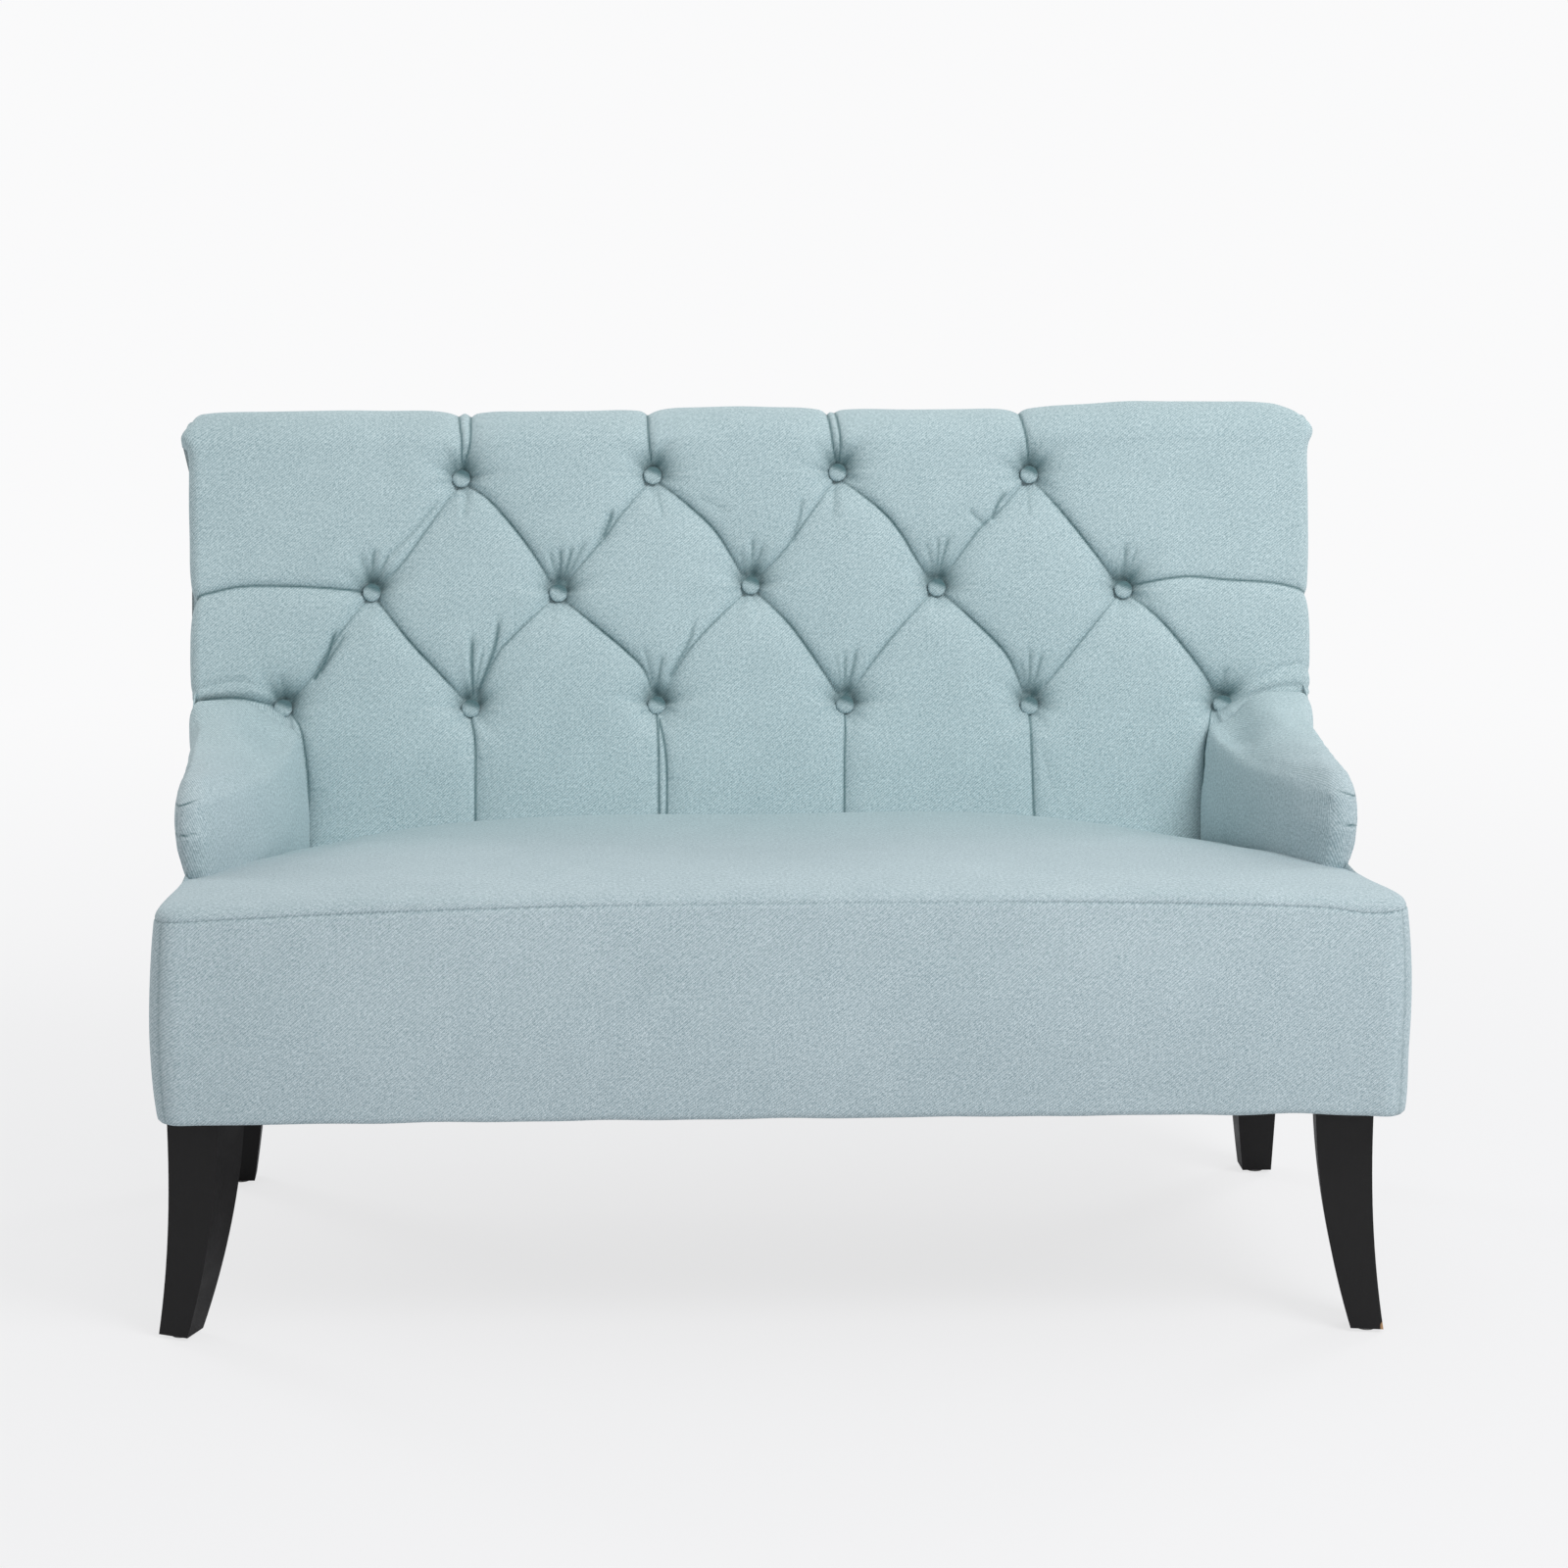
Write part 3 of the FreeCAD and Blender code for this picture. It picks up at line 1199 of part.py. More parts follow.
def make_posts():
    """Two posts that stand on the seat's back rail and carry the batten with the sides."""
    tenon_w = v.panel_back_w + v.post_tenon_depth
    notch_rise = v.tuck_rise - v.gap
    rear_y = outside_back_y(v.rail_top) - v.back_lining
    corners = [leaning_point(v.panel_back_w, -v.back_rise),
               leaning_point(v.panel_back_w, v.core_flat_v), leaning_point(tenon_w, v.core_flat_v),
               leaning_point(tenon_w, notch_rise),
               leaning_point(outside_back_w(notch_rise, v.back_lining), notch_rise),
               (rear_y, v.rail_top), (rear_y, 0)]
    points = [Vector(v.post_x - v.post_width / 2, y, z) for y, z in corners]
    face = Part.Face(Part.makePolygon(points + points[:1]))
    on_rail = box_shape(Vector(0, v.back_rail_y, v.rail_top),
                        Vector(v.back_half_width, v.overall_depth, v.rail_top + v.back_rise * 2))
    post = face.extrude(Vector(v.post_width, 0, 0)).common(on_rail)
    kept(shaped("back_posts", Part.makeCompound([post, mirrored(post)])))


def make_scroll_batten():
    """Rounded batten along the top, flat where it rests on the sides and the posts."""
    half = "(back_half_width - cover_thickness * 2 - gap)"
    blank = rod("batten_blank", "core_radius", "2 * " + half,
                ("0 - " + half, "scroll_radius", "back_rise"), (1, 0, 0))
    waste = block("batten_waste", ("4 * " + half, "4 * core_radius", "core_radius"),
                  ("0 - 2 * " + half, "scroll_radius - 2 * core_radius", "core_flat_v - core_radius"))
    batten = kept(less("scroll_batten", blank, waste))
    lean_back(batten)


def make_scroll_ends():
    """Padded discs that close the ends of the scroll."""
    disc = rod("scroll_end_blank", "scroll_radius", "scroll_end_depth", ("0", "0", "0"))
    doc.recompute()
    rim = [edge for edge in disc.Shape.Edges
           if edge.BoundBox.ZMin > v.scroll_end_depth / 2 and edge.BoundBox.ZLength < v.gap]
    cap = disc.Shape.makeFillet(v.scroll_end_round, rim)
    cap.Placement = back_placement().multiply(
        Placement(Vector(v.scroll_end_x, v.scroll_radius, v.back_rise),
                  Rotation(Vector(0, 0, 1), Vector(1, 0, 0))))
    sides("scroll_end", cap)


def make_back_sides():
    """Cover and padding of the back's sides, above the arms and beside their rear ends."""
    inner_x = v.back_half_width - v.cover_thickness + v.gap
    edge = back_columns(0)[-1]
    shift = Vector(inner_x - edge.x, 0, 0)
    edges = [edge.edges[name] for name in ("low_pleat", "pleat", "scroll", "top")]
    low, end = edge.points["low_pleat"], edge.points["tuck"]
    rear = Vector(edge.x, outside_back_w(v.side_step_rise, v.cover_thickness + v.gap), v.side_step_rise)
    wire = Part.Wire(Part.__sortEdges__(edges + [line(end, rear), line(rear, low)]))
    cover = Part.Face(wire).extrude(Vector(v.back_half_width - inner_x, 0, 0))
    cover.Placement = back_placement().multiply(Placement(shift, Rotation()))
    sides("back_side_cover", cover.cut(behind_outside_back(v.cover_thickness + v.gap)))
    outer_x = v.frame_half_width + v.gap
    upper = beside_back(outer_x, inner_x - v.gap, v.panel_w, v.side_step_rise + v.gap, v.core_flat_v,
                        v.back_lining)
    lower = beside_back(outer_x, v.arm_half_width - v.cover_thickness - v.gap, v.panel_w, -v.seat_depth,
                        v.side_step_rise + v.gap, v.back_lining)
    lower = lower.common(between_heights(v.seam_height, v.overall_depth * 2))
    sides("back_side_padding", upper.fuse(lower).removeSplitter().cut(scroll_room()))


def scroll_room():
    """The space that the scroll takes, with its clearance."""
    room = Part.makeCylinder(v.scroll_radius + v.gap, 4 * v.back_half_width,
                             Vector(-2 * v.back_half_width, v.scroll_radius, v.back_rise), Vector(1, 0, 0))
    room.Placement = back_placement().multiply(room.Placement)
    return room


def back_sheet(inset, thickness, low_z, margin):
    """A sheet on the outside back, as wide as the arms below and as the back above."""
    step_z = leaning_point(outside_back_w(v.side_step_rise, 0), v.side_step_rise)[1] + margin
    top_z = leaning_point(outside_back_w(v.tuck_rise, 0), v.tuck_rise)[1] - margin
    half_low = v.arm_half_width - margin
    half_high = v.back_half_width - margin

    def at(x, z):
        return Vector(x, outside_back_y(z) - inset, z)

    corners = [at(-half_low, low_z), at(half_low, low_z), at(half_low, step_z), at(half_high, step_z),
               at(half_high, top_z), at(-half_high, top_z), at(-half_high, step_z),
               at(-half_low, step_z)]
    face = Part.Face(Part.makePolygon(corners + corners[:1]))
    return face.extrude(Vector(0, -thickness, 0))


def make_outside_back():
    cover = back_sheet(0, v.cover_thickness, v.apron_bottom, v.gap)
    kept(shaped("outside_back_cover", cover.cut(scroll_room())))
    card = back_sheet(v.cover_thickness + v.gap, v.card_thickness, v.rail_top, v.card_margin)
    kept(shaped("outside_back_card", card.cut(scroll_room())))


def main():
    make_seat_rails()
    make_stretcher()
    make_corner_blocks()
    make_dowels()
    legs = make_legs()
    make_leg_hardware(legs)
    make_dust_cover()
    make_staples()
    make_springs()
    make_spring_clips()
    make_deck_cloth()
    make_apron()
    arm_room, panel_room = make_sides_and_arms()
    make_seat(arm_room, panel_room)
    make_tufting_board(panel_room)
    make_back_rails()
    make_screws()
    make_posts()
    make_scroll_batten()
    make_back(panel_room)
    make_button_parts()
    make_scroll_ends()
    make_back_sides()
    make_outside_back()


main()
doc.recompute()
for item in doc.Objects:
    if "Invalid" in item.State or "Error" in item.State:
        raise SystemExit("%s failed: %s" % (item.Label, item.State))
os.makedirs("parts", exist_ok=True)
for item in sub_parts:
    shape = item.Shape
    if shape.isNull() or not shape.isValid() or not shape.Solids:
        raise SystemExit("%s has no valid solid" % item.Label)
    print("%-28s %2d solids %10.0f mm3" % (item.Label, len(shape.Solids), shape.Volume))
for item in sub_parts:
    item.Shape.exportStep(os.path.join("parts", item.Label + ".step"))
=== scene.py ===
import json
import math
import bmesh
import bpy
import numpy as np
from mathutils import Matrix, Vector
from mathutils.bvhtree import BVHTree


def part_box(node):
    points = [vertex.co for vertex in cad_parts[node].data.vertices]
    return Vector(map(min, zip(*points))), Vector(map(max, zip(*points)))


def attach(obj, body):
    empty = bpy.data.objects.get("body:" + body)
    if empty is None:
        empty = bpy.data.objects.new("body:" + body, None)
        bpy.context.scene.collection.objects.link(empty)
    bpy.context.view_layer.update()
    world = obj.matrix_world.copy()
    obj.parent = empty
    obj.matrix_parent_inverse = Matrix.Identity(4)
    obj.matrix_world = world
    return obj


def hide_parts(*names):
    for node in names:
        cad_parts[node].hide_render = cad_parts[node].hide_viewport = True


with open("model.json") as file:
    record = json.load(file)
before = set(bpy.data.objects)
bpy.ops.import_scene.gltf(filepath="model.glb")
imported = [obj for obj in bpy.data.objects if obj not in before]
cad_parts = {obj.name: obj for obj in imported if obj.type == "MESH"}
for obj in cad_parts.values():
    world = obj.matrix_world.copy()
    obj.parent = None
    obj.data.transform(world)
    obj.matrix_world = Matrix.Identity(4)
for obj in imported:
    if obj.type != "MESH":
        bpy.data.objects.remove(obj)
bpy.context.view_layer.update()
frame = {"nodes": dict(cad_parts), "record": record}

NODES = frame["nodes"]


def adjust(target, **values):
    """Sets properties by name."""
    for key, value in values.items():
        setattr(target, key, value)
    return target


# Shader maths

def maths(operation):
    """A method that puts a wire through a maths node."""
    settings = {"operation": operation}
    return lambda wire, *inputs: wire.graph.node("ShaderNodeMath", settings, wire, *inputs)


class Wire:
    """A shader socket that can be added, subtracted, multiplied and divided like a number."""

    __add__, __sub__ = maths("ADD"), maths("SUBTRACT")
    __mul__, __truediv__ = maths("MULTIPLY"), maths("DIVIDE")
    sine, larger = maths("SINE"), maths("MAXIMUM")

    def __init__(self, graph, socket):
        self.graph = graph
        self.socket = socket

    def wave(self):
        """A wave between 0 and 1 that repeats with every whole number."""
        return (self * (2 * math.pi)).sine() * 0.5 + 0.5

    def ramp(self, low, high, to_low=0.0, to_high=1.0):
        """Runs smoothly from to_low to to_high as the wire goes from low to high."""
        return self.graph.node("ShaderNodeMapRange", {"interpolation_type": "SMOOTHSTEP"},
                               self, low, high, to_low, to_high)


class Graph:
    """The nodes of one new material, or of a new world."""

    def __init__(self, name, group="materials"):
        self.owner = getattr(bpy.data, group).new(name)
        self.owner.use_nodes = True
        self.tree = self.owner.node_tree
        self.tree.nodes.clear()

    def node(self, kind, settings=None, *inputs, out=0, **named):
        made = adjust(self.tree.nodes.new(kind), **(settings or {}))
        sockets = [one for one in made.inputs if one.enabled]
        pairs = list(zip(sockets, inputs))
        pairs += [(made.inputs[key.replace("_", " ")], value) for key, value in named.items()]
        for socket, value in pairs:
            if isinstance(value, Wire):
                self.tree.links.new(value.socket, socket)
            elif value is not None:
                socket.default_value = value
        outs = [one for one in made.outputs if one.enabled]
        return Wire(self, made.outputs[out] if isinstance(out, str) else outs[out]) if outs else None

    def mix(self, factor, low, high, blend="MIX"):
        """Mixes two colours."""
        settings = {"data_type": "RGBA", "blend_type": blend}
        return self.node("ShaderNodeMix", settings, factor, low, high)

    def noise(self, place, scale, detail=2.0, rough=0.5):
        """Noise with one scale, or with one for each axis."""
        if isinstance(scale, tuple):
            place = self.node("ShaderNodeVectorMath", {"operation": "MULTIPLY"}, place, scale)
            scale = 1.0
        return self.node("ShaderNodeTexNoise", None, Vector=place, Scale=scale, Detail=detail,
                         Roughness=rough)

    def place(self):
        """The point of the surface in the settee's own frame, in metres."""
        return self.node("ShaderNodeTexCoord", None, out="Object")

    def axis(self, vector, letter):
        return self.node("ShaderNodeSeparateXYZ", None, vector, out=letter)

    def distance(self, place, spot):
        return self.node("ShaderNodeVectorMath", {"operation": "DISTANCE"}, place, spot, out="Value")

    def ray(self, kind):
        return self.node("ShaderNodeLightPath", None, out=kind)

    def bump(self, height, distance, strength=1.0):
        return self.node("ShaderNodeBump", None, Strength=strength, Distance=distance, Height=height)

    def finish(self, colour, rough, normal=None, **fixed):
        """The surface itself: colour, roughness and bump, with constants on the shader's sockets."""
        shader = self.node("ShaderNodeBsdfPrincipled", None, Base_Color=colour, Roughness=rough,
                           Normal=normal, **fixed)
        self.node("ShaderNodeOutputMaterial", None, shader)
        return self.owner


def rgb(red, green, blue):
    """A colour as seen on a screen, from 0 to 255, made linear."""
    def linear(part):
        part /= 255
        return part / 12.92 if part <= 0.04045 else ((part + 0.055) / 1.055) ** 2.4
    return (linear(red), linear(green), linear(blue), 1.0)


# Materials

TWILL_PERIOD = 0.0024
TWILL_ANGLE = math.radians(41)


def blue_fabric(name, angle=TWILL_ANGLE):
    """Duck-egg blue twill of melange yarn.

    The attribute cloth holds the place on the cloth in metres, and fold how much painted shade darkens it.
    """
    g = Graph(name)
    cloth = g.node("ShaderNodeAttribute", {"attribute_name": "cloth"}, out="Vector")
    fold = g.node("ShaderNodeAttribute", {"attribute_name": "fold"}, out="Fac")
    across, along = g.axis(cloth, "X"), g.axis(cloth, "Y")
    wander = g.noise(cloth, 55.0, 3.0) * 0.9
    ribs = (across * math.sin(angle) - along * math.cos(angle)) / TWILL_PERIOD
    rib = (ribs + wander).wave()
    picks = (across * math.cos(angle) + along * math.sin(angle)) / (TWILL_PERIOD * 0.62)
    pick = (picks + wander * 1.7).wave()
    warp = g.noise(cloth, (1500.0, 260.0, 1.0), 2.0, 0.6)
    weft = g.noise(cloth, (240.0, 1500.0, 1.0), 2.0, 0.6)
    fleck = (warp + weft) * 0.5
    cloud = g.noise(g.place(), 5.0, 3.0)
    blotch = g.noise(g.place(), 34.0, 3.0)
    slub = g.noise(cloth, 330.0, 2.0, 0.7)
    pale = rgb(216, 230, 235)
    deep = rgb(114, 140, 148)
    tone = rib * 0.30 + pick * 0.08 + fleck.ramp(0.36, 0.64) * 0.36 + slub.ramp(0.34, 0.66) * 0.26
    tone = tone + cloud * 0.14 + blotch * 0.12 - 0.13
    colour = g.mix(tone, deep, pale)
    # Painted light: the cloth turns a little greener and lighter towards the back, standing in for light
    # bounced between the blue pieces.
    bounce_painted_green = g.mix(1.0, colour, (1.01, 1.055, 1.042, 1.0), "MULTIPLY")
    colour = g.mix(g.axis(g.place(), "Y").ramp(-0.15, 0.12), colour, bounce_painted_green)
    # Painted shade: where fold is set, the cloth is mixed towards a dark teal, in creases, pleats,
    # wrinkles, button pits and low on the arms.
    colour = g.mix(fold.ramp(0.0, 1.0, 0.0, 0.86), colour, rgb(38, 84, 89))
    height = rib * 0.6 + pick * 0.2 + fleck * 0.7
    rough = fleck.ramp(0.3, 0.7, 0.92, 0.8)
    return g.finish(colour, rough, g.bump(height, 0.0005, 0.7), Specular_IOR_Level=0.22, Sheen_Weight=0.18,
                    Sheen_Roughness=0.55, Sheen_Tint=(0.86, 0.95, 0.97, 1.0))


def black_legs():
    """Satin lacquer, with a chip down to the wood at one corner of the front right foot."""
    g = Graph("black_satin_lacquer")
    spot = g.place()
    grain = g.noise(spot, (300.0, 300.0, 26.0), 4.0, 0.6)
    dust = g.noise(spot, 60.0, 4.0)
    colour = g.mix(grain * 0.5 + dust * 0.3, rgb(13, 13, 14), rgb(25, 24, 24))
    low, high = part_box("leg_front_right")
    off = g.distance(spot, (high.x, low.y, low.z + 0.003))
    chip = (off + dust * 0.004).ramp(0.0085, 0.0105, 1.0, 0.0)
    colour = g.mix(chip, colour, rgb(176, 140, 104))
    rough = g.noise(spot, 25.0, 3.0).ramp(0.3, 0.7, 0.42, 0.54)
    bumps = grain * 0.5 + g.noise(spot, 420.0, 2.0) * 0.5
    return g.finish(colour, rough, g.bump(bumps, 0.0003, 0.35), Specular_IOR_Level=0.25,
                    Coat_Weight=0.06, Coat_Roughness=0.35)


def plain_wood(name, low, high, scales):
    g = Graph(name)
    spot = g.place()
    grain = g.noise(spot, scales, 5.0, 0.65)
    fine = g.noise(spot, tuple(6 * part for part in scales), 3.0)
    colour = g.mix(grain.ramp(0.3, 0.7) * 0.75 + fine * 0.25, rgb(*low), rgb(*high))
    return g.finish(colour, grain.ramp(0.3, 0.7, 0.5, 0.68), g.bump(fine + grain, 0.0005, 0.4))


def metal(name, colour, low, high):
    g = Graph(name)
    spot = g.place()
    smear = g.noise(spot, 90.0, 4.0)
    shade = g.mix(smear * 0.4, rgb(*colour), rgb(96, 94, 90))
    bumps = g.bump(g.noise(spot, 900.0), 0.0002, 0.25)
    return g.finish(shade, smear.ramp(0.3, 0.7, low, high), bumps, Metallic=1.0)


def plain_cloth(name, low, high, scale, rough=0.9):
    """A plain weave, felt, foam or plastic, from crossed threads in the settee's own frame."""
    g = Graph(name)
    spot = g.place()
    x, y, z = (g.axis(spot, letter) for letter in "XYZ")
    threads = ((x + z) * scale).sine() * ((y + z) * scale).sine() * 0.5 + 0.5
    fuzz = g.noise(spot, 300.0, 4.0, 0.7)
    tone = threads * 0.45 + fuzz * 0.4 + g.noise(spot, 12.0) * 0.3 - 0.08
    return g.finish(g.mix(tone, rgb(*low), rgb(*high)), fuzz.ramp(0.3, 0.7, rough, rough - 0.12),
                    g.bump(threads * 0.5 + fuzz * 0.5, 0.0004, 0.6), Specular_IOR_Level=0.2)


ARM_FABRIC = blue_fabric("duck_egg_twill_arm", math.radians(112))
FINISHES = {
    "hardwood": plain_wood("frame_beech", (176, 134, 92), (208, 172, 128), (9.0, 60.0, 60.0)),
    "plywood": plain_wood("plywood_sides", (186, 150, 106), (216, 186, 142), (40.0, 12.0, 70.0)),
    "black_legs": black_legs(),
    "zinc_steel": metal("zinc_plated_steel", (190, 192, 190), 0.28, 0.45),
    "spring_steel": metal("oiled_spring_steel", (120, 118, 116), 0.35, 0.5),
    "grey_glides": plain_cloth("grey_plastic_glides", (150, 150, 150), (184, 184, 182), 900.0, rough=0.55),
    "black_cambric": plain_cloth("black_cambric", (22, 22, 23), (46, 46, 48), 2600.0),
    "deck_cloth": plain_cloth("deck_cloth", (206, 200, 186), (230, 226, 214), 1900.0),
    "wadding": plain_cloth("white_wadding", (222, 222, 218), (244, 244, 242), 400.0),
    "foam": plain_cloth("cream_foam", (226, 214, 178), (240, 232, 204), 1200.0),
    "blue_fabric": blue_fabric("duck_egg_twill"),
    "card": plain_cloth("grey_card", (150, 140, 124), (178, 168, 150), 500.0),
    "twine": plain_cloth("waxed_twine", (214, 204, 180), (236, 230, 212), 3200.0),
}


# Meshes

def linked(name, data):
    """A new object of the scene that shows a mesh, a lamp or a camera."""
    made = bpy.data.objects.new(name, data)
    bpy.context.scene.collection.objects.link(made)
    return made


def as_piece(name, mesh, material):
    """Makes a piece of a mesh: with its finish, riding on the settee."""
    mesh.materials.clear()
    mesh.materials.append(material)
    piece = linked(name, mesh)
    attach(piece, "root")
    return piece


def piece_from(name, points, faces, slot="blue_fabric"):
    """A new piece made of points and faces."""
    mesh = bpy.data.meshes.new(name)
    mesh.from_pydata(points.tolist(), [], [tuple(map(int, face)) for face in faces])
    mesh.update()
    return as_piece(name, mesh, FINISHES[slot])


def grid_faces(rows, columns, first=0, around=False, flip=False):
    """Quads between rows of points; around closes each row into a ring."""
    row, column = np.meshgrid(np.arange(rows - 1), np.arange(columns if around else columns - 1),
                              indexing="ij")
    after = (column + 1) % columns
    quads = np.stack([row * columns + column, row * columns + after,
                      (row + 1) * columns + after, (row + 1) * columns + column], -1)
    quads = quads.reshape(-1, 4) + first
    return quads[:, ::-1] if flip else quads


def tube_faces(rows, columns):
    """Faces of a closed form: the last row of points meets the first, and both ends are flat."""
    faces = grid_faces(rows + 1, columns) % (rows * columns)
    return [*faces, *([row * columns + end for row in range(rows)] for end in (0, columns - 1))]


def clean(piece, merge=1e-6):
    """Merges points that coincide, turns every face outwards and shades them smooth."""
    work = bmesh.new()
    work.from_mesh(piece.data)
    bmesh.ops.remove_doubles(work, verts=work.verts, dist=merge)
    bmesh.ops.recalc_face_normals(work, faces=work.faces)
    work.to_mesh(piece.data)
    work.free()
    piece.data.shade_smooth()


def read(items, name, width=1, kind=np.float32):
    """One property of all points, faces or corners of a mesh."""
    values = np.empty(len(items) * width, kind)
    items.foreach_get(name, values)
    return values.reshape(-1, width) if width > 1 else values


def mark(piece, name, values, kind="FLOAT", domain="POINT"):
    """Writes a number or a vector for each point or corner of a piece."""
    layer = piece.data.attributes.new(name, kind, domain)
    values = np.asarray(values, np.float32).ravel()
    layer.data.foreach_set("value" if kind == "FLOAT" else "vector", values)


def lay_cloth(piece, fold=0.0):
    """Writes where each corner of a face lies on the cloth, in metres, by the way the face looks.

    It also writes the painted shade of the points, as fold, if that isn't on the piece yet.
    """
    mesh = piece.data
    spots = read(mesh.vertices, "co", 3)[read(mesh.loops, "vertex_index", kind=np.int32)]
    sizes = read(mesh.polygons, "loop_total", kind=np.int32)
    looks = np.repeat(read(mesh.polygons, "normal", 3), sizes, axis=0)
    sideways = np.abs(looks[:, 0]) > 0.75
    across = np.where(sideways, spots[:, 1] * np.sign(looks[:, 0]), spots[:, 0])
    along = np.where(sideways, spots[:, 2], spots[:, 1] + spots[:, 2])
    mark_cloth(piece, across, along, "CORNER")
    if "fold" not in mesh.attributes:
        mark(piece, "fold", np.broadcast_to(fold, len(mesh.vertices)))


def mark_cloth(piece, across, along, domain="POINT"):
    """Writes where each point or corner of a piece lies on the cloth, in metres; the rest stay at 0."""
    values = np.zeros((len(piece.data.vertices if domain == "POINT" else piece.data.loops), 3))
    values[:across.size, 0] = across.ravel()
    values[:along.size, 1] = along.ravel()
    mark(piece, "cloth", values, "FLOAT_VECTOR", domain)


def ease(low, high, value):
    """Rises smoothly from 0 to 1 as the value goes from low to high; fading falls."""
    t = np.clip((value - low) / (high - low), 0, 1)
    return t * t * (3 - 2 * t)


def fading(low, high, value):
    return 1 - ease(low, high, value)


def bell(value, middle, width):
    return np.exp(-((value - middle) / width) ** 2)


def within(distance, reach):
    """1 at no distance, falling evenly to 0 at the reach."""
    return np.clip(1 - distance / reach, 0, 1)


def through(points, count):
    """A smooth line through points in a plane, with count steps from each to the next."""
    points = np.asarray(points, float)
    ends = np.vstack([2 * points[0] - points[1], points, 2 * points[-1] - points[-2]])
    t = np.linspace(0, 1, count, endpoint=False)[:, None]
    parts = []
    for a, b, c, d in zip(ends, ends[1:], ends[2:], ends[3:]):
        parts.append(0.5 * (2 * b + (c - a) * t + (2 * a - 5 * b + 4 * c - d) * t ** 2
                            + (3 * b - a - 3 * c + d) * t ** 3))
    return np.vstack(parts + [points[-1:]])


def ripple(seed, *fields, size=1.0):
    """Smooth waviness from a few seeded sine waves, between about -1 and 1."""
    rng = np.random.default_rng(seed)
    total = 0
    for _ in range(7):
        turn = rng.uniform(0, 2 * math.pi, len(fields) + 1)
        pull = rng.normal(0, 1, len(fields))
        pull /= np.linalg.norm(pull) * size * rng.uniform(0.6, 1.5)
        total = total + np.sin(2 * math.pi * sum(p * f for p, f in zip(pull, fields)) + turn[-1])
    return total / 3.2


# The back: x runs across, s up its face and on over the scroll, v straight up it, w behind its crown.

BASE_Y, BASE_Z = 0.1686, 0.449
LEAN = math.radians(13.7)
SCROLL_W, SCROLL_V, SCROLL_R = 0.045, 0.410, 0.045
TUCK = math.radians(180 + 52)
SCROLL_END_V = SCROLL_V - SCROLL_R * math.sin(TUCK - math.pi)
HALF_BACK = 0.628
# Widths of the painted shade lines in creases and pleats, the cover's deepest point and the buttons'
# depth.
CREASE_LINE, PLEAT_LINE = 0.0018, 0.0017
DEEPEST, BUTTON_W = 0.0272, 0.0222

BUTTONS = [(-325, 376), (-108, 378), (102, 380), (320, 376),
           (-427, 247), (-216, 245), (2, 252), (213, 248), (425, 244),
           (-527, 117), (-316, 115), (-106, 117), (107, 116), (316, 113), (534, 113)]

# Routes across the back in millimetres: x and the way up the back, one point after the other.
SHARP_CREASES = [
    [-320, 370, -295, 352, -266, 319, -244, 289, -222, 254],
    [-104, 372, -74, 348, -41, 317, -21, 287, -4, 258],
    [106, 372, 151, 335, 173, 308, 189, 281, 208, 254],
    [324, 370, 359, 328, 387, 292, 420, 250],
    [-422, 240, -385, 192, -351, 155, -320, 121],
    [-211, 238, -173, 206, -140, 178, -119, 155, -109, 124],
    [7, 246, 44, 208, 72, 169, 102, 124],
    [218, 243, 260, 203, 289, 172, 305, 140, 313, 120],
    [430, 240, 463, 211, 491, 178, 515, 146, 531, 119],
]
FAINT_CREASES = [
    [-329, 366, -359, 324, -397, 273, -423, 252],
    [-113, 370, -147, 329, -164, 306, -211, 252],
    [98, 370, 60, 318, 35, 285, 7, 258],
    [315, 368, 282, 331, 262, 314, 217, 253],
    [-221, 239, -267, 196, -288, 171, -312, 121],
    [-3, 245, -47, 203, -76, 169, -102, 122],
    [208, 243, 164, 195, 130, 152, 111, 122],
    [420, 240, 381, 193, 346, 150, 320, 119],
    [-431, 241, -461, 202, -478, 177, -497, 147, -524, 122],
]
# Pleats at the sides, down to the seat and over the scroll: route, then depth.
PLEATS = [
    (-655, 232, -628, 241, -605, 247, -570, 254, -520, 254, -469, 251, -432, 248, 5.5),
    (430, 248, 473, 255, 502, 257, 541, 253, 589, 249, 630, 238, 655, 230, 3.2),
    (-655, 114, -628, 120, -605, 127, -571, 128, -532, 119, 6),
    (-655, 132, -628, 136, -605, 142, -575, 147, -550, 140, -531, 122, 2.8),
    (-655, 90, -626, 92, -600, 91, -575, 88, 1.6),
    (540, 118, 560, 134, 587, 150, 612, 157, 631, 150, 655, 146, 2.6),
    (541, 116, 568, 126, 597, 132, 629, 131, 655, 128, 2.8),
    (567, 95, 601, 103, 637, 95, 655, 92, 1.6),
    (-523, 112, -508, 94, -502, 67, -498, 24, -500, -9, -502, -52, 3.4),
    (530, 108, 517, 76, 512, 48, 511, 5, 512, -52, 3.4),
    (-316, 108, -311, 74, -311, 29, -312, -46, 5.5),
    (-106, 108, -105, 72, -105, 28, -105, -46, 4),
    (-103, 100, -96, 50, -97, -46, 4.5),
    (107, 108, 105, 59, 104, -5, 104, -46, 5.5),
    (316, 104, 316, 63, 317, 24, 319, -46, 4.5),
    (320, 85, 331, 46, 339, 8, 1.8),
    (-303, 88, -296, 50, -294, 5, 1.4),
    (-328, 520, -327, 456, -324, 417, -325, 387, 4),
    (-314, 520, -314, 456, -315, 414, -324, 386, 4.5),
    (-112, 520, -113, 458, -112, 415, -108, 387, 5),
    (93, 520, 92, 465, 96, 416, 101, 390, 5),
    (101, 520, 101, 465, 105, 414, 104, 392, 3.5),
    (311, 520, 312, 454, 317, 414, 320, 385, 5),
]
